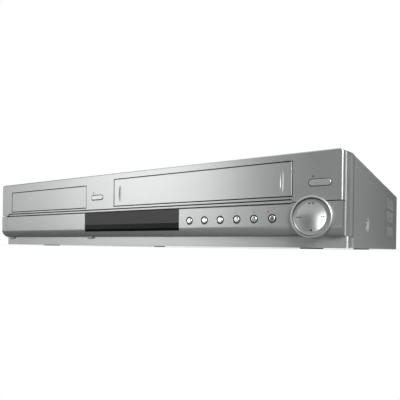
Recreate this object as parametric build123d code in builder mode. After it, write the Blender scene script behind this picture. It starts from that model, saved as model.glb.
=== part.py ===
"""Disc and cassette combination player, built as separate pieces (millimetres).

X runs to the right seen from the front, Y to the back and Z up. The origin is the middle of
the outline on the surface the feet stand on. Most places are given as a depth behind the
front face and a height above the plinth's lower edge.
"""
import math
import os

from build123d import *

os.makedirs("parts", exist_ok=True)

# ---- Driving dimensions ----
cabinet_width = 430.0
cabinet_height = 75.0
cabinet_depth = 322.5
foot_drop = 0.8
ring_proud = 3.5
socket_proud = 9.0
sheet = 0.9
screw_depth = 86.0
screw_height = 24.0
screw_seat = 2.8
fit = 0.06
gap = 0.4

# Front face
side_inset = 3.2
fascia_wall = 2.0
fascia_depth = 8.0
bezel_depth = 23.7
bezel_wall = 2.0
corner_radius = 3.0
edge_radius = 1.2
parting_height = 35.9
parting_gap = 0.7
chin_start = 17.3
chin_depth = 9.5
chin_height = 9.3
plinth_inset = 1.0
plinth_wall = 2.0
plinth_corner = 1.6
frame_step = 0.7

# Ornamental rib and its groove
rib_left_inset = 14.0
rib_right_inset = 39.4
rib_height = 2.2
rib_centre = 36.5
groove = 0.9

# Disc tray door and tray
door_gap = 0.8
door_edge = 0.3
tray_door_width = 132.0
tray_door_low = 40.7
tray_door_height = 23.5
door_wall = 2.4
tray_width = 128.0
tray_low = 47.5
tray_thickness = 5.5
tray_rear = 185.0
tray_travel = 140.0
spindle_depth = 78.0
disc_radius = 60.3
small_disc_radius = 40.4
gear_module = 1.0
gear_teeth = 20
gear_depth = 31.0

# Cassette door and deck
cassette_door_width = 189.8
cassette_door_low = 41.0
cassette_door_height = 27.2
door_pivot_depth = 4.1
door_pivot_height = 71.3
door_pin_radius = 1.0
cassette_width = 188.0
cassette_height = 25.0
cassette_low = 41.4
holder_front = 37.0
holder_length = 66.0
carriage_travel = 40.0
holder_travel = 14.0
deck_low = 18.0
deck_sheet = 1.5
drum_radius = 31.0
drum_depth = 178.0

# Window, buttons and control ring
window_low = 14.7
window_to_button = 11.7
last_button_to_dial = 32.35
button_pitch = 16.05
button_count = 6
button_height = 23.5
button_radius = 2.8
button_dome = 1.2
button_recess = 1.0
button_travel = 0.8
dial_inset = 23.1
dial_height = 23.8
ring_radius = 16.4
pad_radius = 14.2
pad_clearance = 0.6
eject_width = 16.8
eject_height = 4.8
eject_gap = 0.6
disc_eject_height = 51.0
tape_eject_height = 50.2
tape_eject_inset = 5.2

# Fold-down flap over the front sockets
flap_inset = 10.4
flap_width = 141.1
flap_pivot_depth = 7.8
flap_pivot_height = 8.7
knuckle_radius = 1.3
tub_depth = 13.5
tub_wall = 1.5

# Sockets
phono_radius = 4.15
phono_bore = 1.7
phono_height = 33.0
phono_pitch = 18.0
phono_rise = 18.0
phono_columns = 6
aerial_inset = 37.0
aerial_height = 26.0
aerial_pitch = 22.0
aerial_radius = 4.75
inlet_inset = 35.0
inlet_height = 26.0
inlet_width = 22.0
inlet_rise = 14.0
inlet_length = 24.0
front_jack_pitch = 20.0
front_jack_height = 22.0
front_jack_length = 7.5

# Worked out: case and front
half_width = cabinet_width / 2
fascia_width = cabinet_width - 2 * side_inset
half_fascia = fascia_width / 2
front_y = -(cabinet_depth + socket_proud - ring_proud) / 2
rear_inner = cabinet_depth - 1.0
groove_radius = rib_height / 2 + groove
rib_left = rib_left_inset - half_fascia
rib_right = half_fascia - rib_right_inset
pan_low = 6.0
pan_top = pan_low + 1.0

# The width the two doors leave is shared between the left end, the middle and the right end
spare = fascia_width - tray_door_width - cassette_door_width
left_share, right_share = 0.20334, 0.38605
tray_x = left_share * spare + tray_door_width / 2 - half_fascia
deck_x = half_fascia - right_share * spare - cassette_door_width / 2
tray_door_right = tray_x + tray_door_width / 2
cassette_door_left = deck_x - cassette_door_width / 2
disc_eject_x = tray_door_right + 0.41 * (cassette_door_left - tray_door_right)
tape_eject_x = half_fascia - tape_eject_inset - 0.3 * right_share * spare

# Lower row, worked out from both ends
dial_x = half_fascia - dial_inset
button_first = dial_x - last_button_to_dial - button_pitch * (button_count - 1)
button_places = [button_first + button_pitch * index for index in range(button_count)]
flap_left = flap_inset - half_fascia
flap_right = flap_left + flap_width
window_left = flap_right + 0.6
window_right = button_first - window_to_button
switch_face = 12.6
scoop_inset = 8.0
scoop_places = (cassette_door_left + scoop_inset, deck_x + cassette_door_width / 2 - scoop_inset)
front_jack_middle = (flap_left + flap_right) / 2 - 1.15
front_jacks = [front_jack_middle + front_jack_pitch * step for step in (-1, 0, 1)]

# Disc unit, worked out
gear_radius = gear_module * gear_teeth / 2
rack_step = math.pi * gear_module
rack_x = tray_x - 52.9
gear_x = rack_x + gear_radius + 0.9
motor_x = gear_x + 54
pulley_radius = 10.0
rack_start = gear_depth - 5
rack_end = tray_rear - 3
turntable_top = tray_low + tray_thickness - 0.5
loader_rear = tray_rear + 11
traverse_level = 30.0
traverse_half = 48.0
traverse_front = 50.0
traverse_rear = tray_rear + 5
traverse_pivot_depth = tray_rear + 2
sled_front = 95.0
sled_length = 26.0
guide_rod_offset = 30.0
screw_x = tray_x - guide_rod_offset - 10

# Tape deck, worked out
deck_half = 107.0
deck_rear = rear_inner - 86.5
deck_top = deck_low + deck_sheet
reel_offset = 46.0
reel_depth = drum_depth - 85
capstan_x = deck_x + drum_radius + 23
capstan_depth = drum_depth - 28
roller_radius = 6.5
arm_x = capstan_x + 28
arm_depth = capstan_depth + 10
arm_reach = 25.045
arm_open_turn = math.radians(161.853)
roller_x = arm_x + arm_reach * math.cos(arm_open_turn)
roller_depth = arm_depth + arm_reach * math.sin(arm_open_turn)
guide_offset = drum_radius - 5
guide_depth = drum_depth - 40
holder_pin_depth = holder_front + 36
holder_pin_height = 56.0

# Boards and rear sockets, worked out
board_low = 14.0
board_top = board_low + 1.6
board_rear = rear_inner - 5.5
phono_x = deck_x - 22.6
aerial_x = half_width - aerial_inset
inlet_x = inlet_inset - half_width
rear_screws = (25 - half_width, 0, half_width - 25)
rear_screw_height = 66.0


def depth(behind):
    """Y of a point this far behind the front face."""
    return front_y + behind


def height(above):
    """Z of a point this far above the plinth's lower edge."""
    return foot_drop + above


def face_plane(behind=0.0):
    """Plane parallel to the front face; sketch X is X and sketch Y is the height."""
    return Plane(origin=(0, depth(behind), height(0)), x_dir=(1, 0, 0), z_dir=(0, -1, 0))


def side_plane(x=0.0):
    """Plane across the width; sketch X is the depth and sketch Y is the height."""
    return Plane(origin=(x, depth(0), height(0)), x_dir=(0, 1, 0), z_dir=(1, 0, 0))


def section_plane(x, behind):
    """Upright plane through a vertical axis; sketch X is the radius and sketch Y the height."""
    return Plane(origin=(x, depth(behind), height(0)), x_dir=(1, 0, 0), z_dir=(0, -1, 0))


def level_plane(above=0.0):
    """Level plane; sketch X is X and sketch Y is the depth."""
    return Plane(origin=(0, depth(0), height(above)))


def block(x0, x1, d0, d1, h0, h1, mode=Mode.ADD):
    """Box between two X values, two depths and two heights."""
    with Locations(((x0 + x1) / 2, depth((d0 + d1) / 2), height((h0 + h1) / 2))):
        Box(x1 - x0, d1 - d0, h1 - h0, mode=mode)


def rod_x(x0, x1, d, h, radius, mode=Mode.ADD):
    """Cylinder along X."""
    with Locations(Location(((x0 + x1) / 2, depth(d), height(h)), (0, 90, 0))):
        Cylinder(radius, x1 - x0, mode=mode)


def rod_y(x, h, d0, d1, radius, mode=Mode.ADD):
    """Cylinder along Y."""
    with Locations(Location((x, depth((d0 + d1) / 2), height(h)), (90, 0, 0))):
        Cylinder(radius, d1 - d0, mode=mode)


def rod_z(x, d, h0, h1, radius, mode=Mode.ADD):
    """Cylinder along Z."""
    with Locations((x, depth(d), height((h0 + h1) / 2))):
        Cylinder(radius, h1 - h0, mode=mode)


def save(piece, label):
    """Label a finished piece and write it."""
    piece.part.label = label
    export_step(piece.part, f"parts/{label}.step")


# ---- Case ----
def make_base_pan():
    """Folded steel floor with side and rear flanges and vent holes."""
    pan_half = half_width - sheet - 0.6
    flange = 7.4
    with BuildPart() as base_pan:
        front = bezel_depth + 0.3
        block(-pan_half, pan_half, front, rear_inner, pan_low, pan_top + flange)
        block(-pan_half + 1, pan_half - 1, front - 1, rear_inner - 1, pan_top, pan_top + flange + 1,
              Mode.SUBTRACT)
        with BuildSketch(level_plane(pan_top)):
            with Locations((tray_x + 5, rear_inner - 71), (deck_x + 32, 130)):
                with GridLocations(9, 8, 8, 5):
                    SlotOverall(6, 3)
        extrude(amount=-2, mode=Mode.SUBTRACT)
    save(base_pan, "base_pan")


def make_top_cover():
    """Folded steel cover: top, both sides, vent slots and a dimpled screw seat on each side."""
    dimple_radius, dimple_in = 9.4, screw_seat
    with BuildPart() as top_cover:
        with BuildSketch(face_plane(bezel_depth)):
            with Locations((0, cabinet_height / 2)):
                Rectangle(cabinet_width, cabinet_height)
        extrude(amount=-(cabinet_depth - bezel_depth))
        top_edges = top_cover.edges().filter_by(Axis.Y).group_by(Axis.Z)[-1]
        fillet(top_edges, 2.5)
        inner = half_width - sheet
        block(-inner, inner, bezel_depth - 1, cabinet_depth + 1, -1, cabinet_height - sheet, Mode.SUBTRACT)
        with BuildSketch(side_plane(-half_width - 1)):
            for row in (57.0, 40.5, 22.5):
                with Locations((cabinet_depth - 72, row)):
                    with GridLocations(4, 1, 15, 1):
                        SlotOverall(13.5, 2, rotation=90)
            with Locations((screw_depth, screw_height)):
                Circle(dimple_radius)
        extrude(amount=cabinet_width + 2, mode=Mode.SUBTRACT)
        for side in (-1, 1):
            outer = side * half_width
            seat = Plane(origin=(outer, depth(screw_depth), height(screw_height)),
                         x_dir=(0, 1, 0), z_dir=(-side, 0, 0))
            profile = Plane(origin=seat.origin, x_dir=(0, 1, 0), z_dir=(0, 0, side))
            with BuildSketch(profile):
                with BuildLine():
                    Polyline((dimple_radius, 0), (4.2, dimple_in), (1.9, dimple_in),
                             (1.9, dimple_in + sheet), (4.6, dimple_in + sheet),
                             (dimple_radius, sheet), close=True)
                make_face()
            revolve(axis=Axis(seat.origin, seat.z_dir))
    save(top_cover, "top_cover")


def make_rear_panel():
    """Steel rear panel with its sockets' holes and a vent field."""
    with BuildPart() as rear_panel:
        panel_half = half_width - sheet - 0.2
        block(-panel_half, panel_half, rear_inner, cabinet_depth, 3, cabinet_height - sheet - 0.1)
        with BuildSketch(face_plane(rear_inner - 1)):
            with Locations((phono_x, phono_height)):
                with GridLocations(phono_pitch, phono_rise, phono_columns, 2):
                    Circle(phono_radius + 1.4)
            with Locations((aerial_x, aerial_height)):
                with GridLocations(aerial_pitch, 1, 2, 1):
                    Circle(aerial_radius + gap)
            with Locations((inlet_x, inlet_height)):
                RectangleRounded(inlet_width + 2 * gap, inlet_rise + 2 * gap, 3)
            with Locations((tray_x + 25, 48)):
                with GridLocations(5, 14, 20, 2):
                    SlotOverall(11, 2.2, rotation=90)
            with Locations(*[(x, rear_screw_height) for x in rear_screws]):
                Circle(1.7)
        extrude(amount=-3, mode=Mode.SUBTRACT)
    save(rear_panel, "rear_panel")


def make_feet():
    """Four rubber feet under the pan."""
    with BuildPart() as feet:
        for foot_x in (40 - half_width, half_width - 40):
            for foot_depth in (48, cabinet_depth - 37.5):
                rod_z(foot_x, foot_depth, -foot_drop, pan_low, 10)
        fillet(feet.edges().filter_by(GeomType.CIRCLE).group_by(Axis.Z)[0], 0.5)
    save(feet, "feet")


def make_case_screws():
    """Two side screws and three rear screws of one kind."""
    shank, head, head_high, side_length = 1.6, 3.4, 2.0, 6.6
    with BuildPart() as case_screws:
        for side in (-1, 1):
            seat = side * (half_width - screw_seat)
            tip = seat - side * side_length
            out = seat + side * head_high
            rod_x(min(tip, seat), max(tip, seat), screw_depth, screw_height, shank)
            rod_x(min(seat, out), max(seat, out), screw_depth, screw_height, head)
        for x in rear_screws:
            rod_y(x, rear_screw_height, cabinet_depth - 6, cabinet_depth, shank)
            rod_y(x, rear_screw_height, cabinet_depth, cabinet_depth + head_high, head)
    save(case_screws, "case_screws")


def make_plinth():
    """Skirt under the chin, wrapping back to the cover on both sides."""
    half_plinth = half_width - plinth_inset
    with BuildPart() as plinth:
        block(-half_plinth, half_plinth, chin_depth, bezel_depth, 0, chin_height - 0.1)
        front_corners = plinth.edges().filter_by(Axis.Z).group_by(Axis.Y)[0]
        fillet(front_corners, plinth_corner)
        inner = half_plinth - plinth_wall
        block(-inner, inner, chin_depth + plinth_wall, bezel_depth + 1, -1, chin_height - 1.6, Mode.SUBTRACT)
        block(-inner, inner, chin_depth + 2.4, bezel_depth + 1, -1, chin_height, Mode.SUBTRACT)
    save(plinth, "plinth")


# ---- Front ----
def dial_cut(start, end, clearance=0.15):
    """Clears the control ring through a front piece."""
    rod_y(dial_x, dial_height, start, end, ring_radius + clearance, Mode.SUBTRACT)


def rib_cut(start, end):
    """Clears the ornamental rib and the groove round it."""
    with BuildSketch(face_plane(start)) as cut:
        with Locations(((rib_left + rib_right) / 2, rib_centre)):
            SlotOverall(rib_right - rib_left + 2 * groove, 2 * groove_radius)
    extrude(cut.sketch, amount=start - end, mode=Mode.SUBTRACT)


def make_upper_fascia():
    """Upper front with the two door openings and the eject openings."""
    low = parting_height + parting_gap / 2
    top_wall = 2.0
    groove_wall = 1.2
    cassette_half = cassette_door_width / 2 + door_gap
    tray_half = tray_door_width / 2 + door_gap
    tray_top = tray_door_low + tray_door_height
    door_top = cassette_door_low + cassette_door_height
    with BuildPart() as upper_fascia:
        block(-half_fascia, half_fascia, 0, fascia_depth, low, cabinet_height)
        corners = upper_fascia.edges().filter_by(Axis.Y).group_by(Axis.Z)[-1]
        fillet(corners, corner_radius)
        rim = upper_fascia.faces().sort_by(Axis.Y)[0].edges().sort_by(Axis.Z)[1:]
        fillet(rim, edge_radius)
        rib_cut(-1, fascia_depth + 1)
        inner = half_fascia - fascia_wall
        pocket_low = rib_centre + groove_radius + groove_wall
        block(-inner, inner, fascia_wall, fascia_depth + 1, pocket_low, cabinet_height - top_wall,
              Mode.SUBTRACT)
        block(deck_x - cassette_half, deck_x + cassette_half, -1, fascia_depth + 1,
              cassette_door_low - door_gap, door_top + door_gap, Mode.SUBTRACT)
        block(tray_x - tray_half, tray_x + tray_half, -1, fascia_depth + 1,
              tray_door_low - door_gap, tray_top + door_gap, Mode.SUBTRACT)
        for x, h in ((disc_eject_x, disc_eject_height), (tape_eject_x, tape_eject_height)):
            with BuildSketch(face_plane(-1)):
                with Locations((x, h)):
                    SlotOverall(eject_width + 2 * eject_gap, eject_height + 2 * eject_gap)
            extrude(amount=-fascia_wall - 2, mode=Mode.SUBTRACT)
        for side in (-1, 1):
            near = deck_x + side * cassette_half
            far = near + side * 4
            block(min(near, far), max(near, far), fascia_wall, door_pivot_depth + 2.3,
                  door_pivot_height - 2.3, cabinet_height - top_wall)
        rod_x(deck_x - cassette_half - 5, deck_x + cassette_half + 5, door_pivot_depth, door_pivot_height,
              door_pin_radius + fit, Mode.SUBTRACT)
        dial_cut(-1, fascia_depth + 1)
    save(upper_fascia, "upper_fascia")


def chin_outline():
    """Side outline of the lower front: a face that curls back under as the chin."""
    top = parting_height - parting_gap / 2
    with BuildLine() as outline:
        face = Line((0, top), (0, chin_start))
        chin = Spline((0, chin_start), (0.9, 14.5), (3.2, 11.6), (chin_depth, chin_height),
                      tangents=((0, -1), (1, -0.12)))
        Polyline(chin @ 1, (chin_depth, chin_height + 2), (fascia_depth, chin_height + 3),
                 (fascia_depth, top), face @ 0)
    make_face(outline.edges())


def make_lower_fascia():
    """Lower front and chin, with the tub behind the flap and the dial's backing."""
    bar_high = 32.5
    rib_low = rib_centre - groove_radius
    with BuildPart() as lower_fascia:
        with BuildSketch(side_plane(-half_fascia)):
            chin_outline()
        extrude(amount=fascia_width)
        with BuildSketch(side_plane(-half_fascia + fascia_wall)):
            with BuildLine():
                Polyline((fascia_wall, bar_high), (fascia_wall, 18.2), (4.1, 15.4), (6.4, 12.9),
                         (fascia_depth + 1, 11.9), (fascia_depth + 1, bar_high), close=True)
            make_face()
        extrude(amount=fascia_width - 2 * fascia_wall, mode=Mode.SUBTRACT)
        rib_cut(-1, fascia_depth + 1)
        # Flap opening and the tub behind it
        block(flap_left - gap, flap_right + gap, -1, 4, 0, 40, Mode.SUBTRACT)
        block(flap_left - gap, flap_right + gap, 3, chin_depth + 1, 0, bar_high, Mode.SUBTRACT)
        block(flap_left - 1.6, flap_right + 1.6, 4.6, tub_depth, 11.9, rib_low)
        block(flap_left - gap, flap_right + gap, 3, tub_depth - tub_wall, 13.1, bar_high, Mode.SUBTRACT)
        block(flap_left - gap, flap_right + gap, 3, 9.2, 0, 31, Mode.SUBTRACT)
        for lug in (flap_left - gap, flap_right + 3.4):
            rod_x(lug - 3, lug, flap_pivot_depth, flap_pivot_height, knuckle_radius)
            block(lug - 3, lug, flap_pivot_depth - 0.8, flap_pivot_depth + 0.8, flap_pivot_height,
                  flap_pivot_height + 2.5)
        rod_x(flap_left - 3, flap_right + 3, flap_pivot_depth, flap_pivot_height, 0.7 + fit, Mode.SUBTRACT)
        for jack_x in front_jacks:
            rod_y(jack_x, front_jack_height, 10, tub_depth + 1, phono_radius + gap, Mode.SUBTRACT)
        # Window, buttons and dial
        block(window_left - 0.2, window_right + 0.2, -1, 4, window_low, 40, Mode.SUBTRACT)
        block(window_left + 4, window_right - 4, 3, fascia_depth + 1, window_low + 2, bar_high,
              Mode.SUBTRACT)
        for x in button_places:
            rod_y(x, button_height, -1, 4, button_radius + 0.25, Mode.SUBTRACT)
            with Locations(Location((x, depth(0), height(button_height)), (90, 0, 0))):
                Cone(button_radius + 0.25, button_radius + 2 * button_recess - 0.25, 1.8, mode=Mode.SUBTRACT)
        dial_cut(-1, fascia_depth + 3)
        backing = ring_radius + 2
        block(dial_x - backing, dial_x + backing, 5.5, fascia_depth, chin_height + 2.7, rib_low - 0.2)
        rod_y(dial_x, dial_height, 5, fascia_depth + 1, 6, Mode.SUBTRACT)
        rod_z(dial_x, 6.8, dial_height - 8, dial_height + 8, 0.6 + fit, Mode.SUBTRACT)
    save(lower_fascia, "lower_fascia")


def make_front_frame():
    """Moulded frame that carries the fascias and joins them to the cover and pan."""
    flare_run = bezel_depth - fascia_depth
    flare_middle = (half_fascia + 0.6 * side_inset, fascia_depth + 0.46 * flare_run)
    flare_end = (half_width - 0.1, fascia_depth + 0.78 * flare_run)
    with BuildPart() as front_frame:
        with BuildSketch(level_plane(chin_height)):
            for side in (-1, 1):
                with BuildLine():
                    Polyline((0, fascia_depth), (side * (half_fascia + 0.3), fascia_depth),
                             (side * (half_fascia + frame_step), fascia_depth + 0.5),
                             (side * flare_middle[0], flare_middle[1]),
                             (side * flare_end[0], flare_end[1]),
                             (side * half_width, bezel_depth), (0, bezel_depth), close=True)
                make_face()
        extrude(amount=cabinet_height - chin_height)
        top_edges = front_frame.edges().group_by(Axis.Z)[-1]
        fillet(top_edges.filter_by(lambda e: abs(e.center().X) > half_fascia - 5), 2.0)
        inner = half_fascia - bezel_wall
        block(-inner, inner, fascia_depth + 2, bezel_depth + 1, 11, cabinet_height - 2, Mode.SUBTRACT)
        block(-half_fascia, half_fascia, fascia_depth - 1, fascia_depth + 2, 0, 13, Mode.SUBTRACT)
        tray_half = tray_door_width / 2 + 2
        cassette_half = cassette_door_width / 2 + 6.1
        block(tray_x - tray_half, tray_x + tray_half, 7, 11, tray_door_low - 1,
              tray_door_low + tray_door_height + 1.8, Mode.SUBTRACT)
        block(deck_x - cassette_half, deck_x + cassette_half, 7, 11, cassette_door_low - 1,
              cabinet_height - 2, Mode.SUBTRACT)
        block(flap_left - 2, flap_right + 2, 7, 11, 10, rib_centre - groove_radius + 0.3, Mode.SUBTRACT)
        block(window_left + 2, window_right - 2, 7, 11, 13, 34, Mode.SUBTRACT)
        block(button_places[0] - 6, button_places[-1] + 6, 7, 11, 19, 28, Mode.SUBTRACT)
        rod_y(dial_x, dial_height, 7, 11, 8, Mode.SUBTRACT)
        for x, h in ((disc_eject_x, disc_eject_height), (tape_eject_x, tape_eject_height)):
            rod_y(x, h, 7, 11, 3, Mode.SUBTRACT)
    save(front_frame, "front_frame")


def make_rib():
    """Long rounded rib lying in the groove between the two fascias."""
    with BuildPart() as trim_rib:
        with BuildSketch(face_plane(0.3)):
            with Locations(((rib_left + rib_right) / 2, rib_centre)):
                SlotOverall(rib_right - rib_left, rib_height)
        extrude(amount=-(fascia_depth - 0.3))
        fillet(trim_rib.faces().sort_by(Axis.Y)[0].edges(), 0.5)
    save(trim_rib, "trim_rib")


def make_window():
    """Smoked window that curls under with the chin."""
    with BuildPart() as display_window:
        with BuildSketch(side_plane(window_left)):
            with BuildLine():
                top = rib_centre - groove_radius
                Polyline((0.1, top), (0.1, chin_start))
                Spline((0.1, chin_start), (0.35, 16.0), (0.95, window_low + 0.1),
                       tangents=((0, -1), (1, -1.7)))
                Polyline((0.95, window_low + 0.1), (3.9, window_low + 0.1), (3.9, 16.5),
                         (2.3, chin_start + 1), (2.3, top), (0.1, top))
            make_face()
        extrude(amount=window_right - window_left)
    save(display_window, "display_window")


def make_flap():
    """Flap over the front sockets, hinged along its lower edge."""
    with BuildPart() as av_flap:
        with BuildSketch(side_plane(flap_left)):
            chin_outline()
            with BuildLine():
                Polyline((fascia_wall, 40), (fascia_wall, 18.2), (4.1, 15.4), (6.4, 12.2),
                         (12, 11), (12, 40), close=True)
            make_face(mode=Mode.SUBTRACT)
            with Locations((10, 10)):
                Rectangle(2, 6, mode=Mode.SUBTRACT)
        extrude(amount=flap_right - flap_left)
        block(flap_left - 1, flap_right + 1, -1, 6, rib_centre - groove_radius, 40, Mode.SUBTRACT)
        for x in (flap_left, flap_right - 3):
            rod_x(x, x + 3, flap_pivot_depth, flap_pivot_height, knuckle_radius)
        rod_x(flap_left - 2.8, flap_left + 1, flap_pivot_depth, flap_pivot_height, 0.7)
        rod_x(flap_right - 1, flap_right + 2.8, flap_pivot_depth, flap_pivot_height, 0.7)
    save(av_flap, "av_flap")


def make_front_jacks():
    """Three phono sockets on one block behind the tub."""
    with BuildPart() as front_av_sockets:
        block(min(front_jacks) - 9, max(front_jacks) + 9, tub_depth, tub_depth + 3, front_jack_height - 7,
              front_jack_height + 7)
        seat = tub_depth - tub_wall
        for x in front_jacks:
            rod_y(x, front_jack_height, seat - front_jack_length, seat, phono_radius)
            rod_y(x, front_jack_height, seat, tub_depth + 1, phono_radius + gap / 2)
            rod_y(x, front_jack_height, seat - front_jack_length - 1, tub_depth, phono_bore, Mode.SUBTRACT)
    save(front_av_sockets, "front_av_sockets")


def make_dial():
    """Control ring, dished pad and the gimbal ring between them."""
    with BuildPart() as dial_ring:
        rod_y(dial_x, dial_height, -ring_proud, chin_depth - 0.3, ring_radius)
        fillet(dial_ring.edges().filter_by(GeomType.CIRCLE).sort_by(Axis.Y)[0], 1.1)
        rod_y(dial_x, dial_height, -ring_proud - 1, chin_depth, pad_radius + pad_clearance,
              Mode.SUBTRACT)
        block(dial_x - 20, dial_x + 20, 5.5, chin_depth + 1, chin_height + 2.5, 45, Mode.SUBTRACT)
    save(dial_ring, "dial_ring")

    dish = 40.0
    with BuildPart() as dial_pad:
        rod_y(dial_x, dial_height, -1.4, 2.0, pad_radius)
        fillet(dial_pad.edges().filter_by(GeomType.CIRCLE).sort_by(Axis.Y)[0], 0.5)
        with Locations((dial_x, depth(-dish + 0.3), height(dial_height))):
            Sphere(dish, mode=Mode.SUBTRACT)
        rod_y(dial_x, dial_height, 1, 9.5, 2.4)
        rod_x(dial_x - 4.4, dial_x + 4.4, 6.8, dial_height, 0.6)
    save(dial_pad, "dial_pad")

    with BuildPart() as pad_carrier:
        rod_y(dial_x, dial_height, 5.6, 8.0, 5.5)
        rod_y(dial_x, dial_height, 5, 9, 3.2, Mode.SUBTRACT)
        rod_x(dial_x - 4.8, dial_x + 4.8, 6.8, dial_height, 0.6 + fit, Mode.SUBTRACT)
        for low, high in ((-7.4, -4.0), (4.0, 7.4)):
            rod_z(dial_x, 6.8, dial_height + low, dial_height + high, 0.6)
    save(pad_carrier, "pad_carrier")


def make_buttons():
    """Six domed round buttons and the two long eject buttons."""
    stem, flange_start, flange_end = 1.5, fascia_wall + 0.5, fascia_wall + 1.5
    for number, x in enumerate(button_places, start=1):
        with BuildPart() as button:
            rod_y(x, button_height, -0.6, flange_start, button_radius)
            fillet(button.edges().filter_by(GeomType.CIRCLE).sort_by(Axis.Y)[0], button_dome)
            rod_y(x, button_height, flange_start, flange_end, button_radius + 0.6)
            rod_y(x, button_height, flange_end, switch_face - button_travel - 0.2, stem)
        save(button, f"function_button_{number}")
    ejects = ((disc_eject_x, disc_eject_height, "disc_eject_button"),
              (tape_eject_x, tape_eject_height, "tape_eject_button"))
    for x, h, label in ejects:
        with BuildPart() as button:
            with BuildSketch(face_plane(-0.6)):
                with Locations((x, h)):
                    SlotOverall(eject_width, eject_height)
            extrude(amount=-(flange_start + 0.6))
            fillet(button.faces().sort_by(Axis.Y)[0].edges(), 0.6)
            with BuildSketch(face_plane(flange_start)):
                with Locations((x, h)):
                    SlotOverall(eject_width + 2, eject_height + 2)
            extrude(amount=flange_start - flange_end)
            rod_y(x, h, flange_end, switch_face - button_travel - 0.2, stem)
        save(button, label)


def make_tray_door():
    """Door fixed to the tray's front edge."""
    half = tray_door_width / 2
    with BuildPart() as tray_door:
        block(tray_x - half, tray_x + half, 0, door_wall, tray_door_low, tray_door_low + tray_door_height)
        fillet(tray_door.faces().sort_by(Axis.Y)[0].edges(), door_edge)
    save(tray_door, "tray_door")


def make_cassette_door():
    """Cassette door with ears and pins above its top edge and a finger scoop at each end."""
    half = cassette_door_width / 2
    top = cassette_door_low + cassette_door_height
    with BuildPart() as cassette_door:
        block(deck_x - half, deck_x + half, 0, door_wall, cassette_door_low, top)
        fillet(cassette_door.faces().sort_by(Axis.Y)[0].edges(), door_edge)
        for side in (-1, 1):
            near = deck_x + side * half
            far = near - side * 3
            x0, x1 = min(near, far), max(near, far)
            block(x0, x1, door_wall - 0.2, 5.6, 58, 67.4)
            block(x0, x1, door_wall + 0.2, 5.6, 67.4, door_pivot_height)
            rod_x(x0, x1, door_pivot_depth, door_pivot_height, 1.5)
            pin_end = near + side * 3.6
            rod_x(min(near, pin_end), max(near, pin_end), door_pivot_depth, door_pivot_height,
                  door_pin_radius)
        scoop_out, scoop_bulge, scoop_half = 2.6, 3.1, 21.8
        for x in scoop_places:
            with BuildSketch(section_plane(x, -scoop_out)):
                with BuildLine():
                    ThreePointArc((0, 53 - scoop_half), (scoop_bulge, 53), (0, 53 + scoop_half))
                    Line((0, 53 + scoop_half), (0, 53 - scoop_half))
                make_face()
            revolve(axis=Axis((x, depth(-scoop_out), 0), (0, 0, 1)), mode=Mode.SUBTRACT)
    save(cassette_door, "cassette_door")


# ---- Disc unit ----
def make_disc_tray():
    """Tray with two disc recesses, a slot open to the back and a toothed rack below."""
    half = tray_width / 2
    top = tray_low + tray_thickness
    slot = 18.5
    with BuildPart() as disc_tray:
        block(tray_x - half, tray_x + half, door_wall, tray_rear, tray_low, top)
        rod_z(tray_x, spindle_depth, top - 2.5, top + 1, disc_radius, Mode.SUBTRACT)
        rod_z(tray_x, spindle_depth, top - 3.5, top + 1, small_disc_radius, Mode.SUBTRACT)
        block(tray_x - slot, tray_x + slot, spindle_depth, tray_rear + 1, tray_low - 1, top + 1,
              Mode.SUBTRACT)
        rod_z(tray_x, spindle_depth, tray_low - 1, top + 1, slot, Mode.SUBTRACT)
        block(rack_x - 4, rack_x, rack_start, rack_end, tray_low - 4.5, tray_low)
        with BuildSketch(level_plane(tray_low - 4.5)):
            for index in range(int((rack_end - gear_depth) / rack_step)):
                tooth_depth = gear_depth + index * rack_step
                with BuildLine():
                    Polyline((rack_x - 0.2, tooth_depth - 1.0), (rack_x + 1.9, tooth_depth - 0.35),
                             (rack_x + 1.9, tooth_depth + 0.35), (rack_x - 0.2, tooth_depth + 1.0),
                             close=True)
                make_face()
        extrude(amount=4.5)
    save(disc_tray, "disc_tray")


def make_loader_frame():
    """Moulded frame: tray guides, a floor round the traverse, the gear's post and four legs."""
    inner = tray_width / 2 + 0.6
    outer = inner + 2.5
    ledge_top = tray_low - 0.3
    tray_top = tray_low + tray_thickness
    with BuildPart() as loader_frame:
        block(tray_x - outer, tray_x + outer, 17, loader_rear, 24, 26)
        rod_z(motor_x, gear_depth, 23, 27, 2, Mode.SUBTRACT)
        block(tray_x - 54, tray_x + 54, 44, 192, 23, 27, Mode.SUBTRACT)
        for side in (-1, 1):
            wall_in, wall_out = tray_x + side * inner, tray_x + side * outer
            block(min(wall_in, wall_out), max(wall_in, wall_out), 17, loader_rear, 24, 57)
            ledge = tray_x + side * (inner - 4.6)
            block(min(ledge, wall_in), max(ledge, wall_in), 17, loader_rear, ledge_top - 2.2, ledge_top)
            tab = tray_x + side * (inner - 3)
            block(min(tab, wall_in), max(tab, wall_in), 100, 192, tray_top + 0.4, tray_top + 2.2)
            lug = tray_x + side * 49.2
            lug_out = tray_x + side * 56
            block(min(lug, lug_out), max(lug, lug_out), 181, 194, 24, 34.5)
            for leg_depth in (30, loader_rear - 8):
                rod_z(tray_x + side * (outer - 4), leg_depth, pan_top, 24, 4)
        block(tray_x - outer, tray_x + outer, loader_rear - 2.5, loader_rear, 24, 44)
        rod_x(tray_x - 53, tray_x + 53, traverse_pivot_depth, traverse_level + 0.75, 1.5 + fit,
              Mode.SUBTRACT)
        rod_z(gear_x, gear_depth, 26, 47, 2)
    save(loader_frame, "loader_frame")


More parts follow.
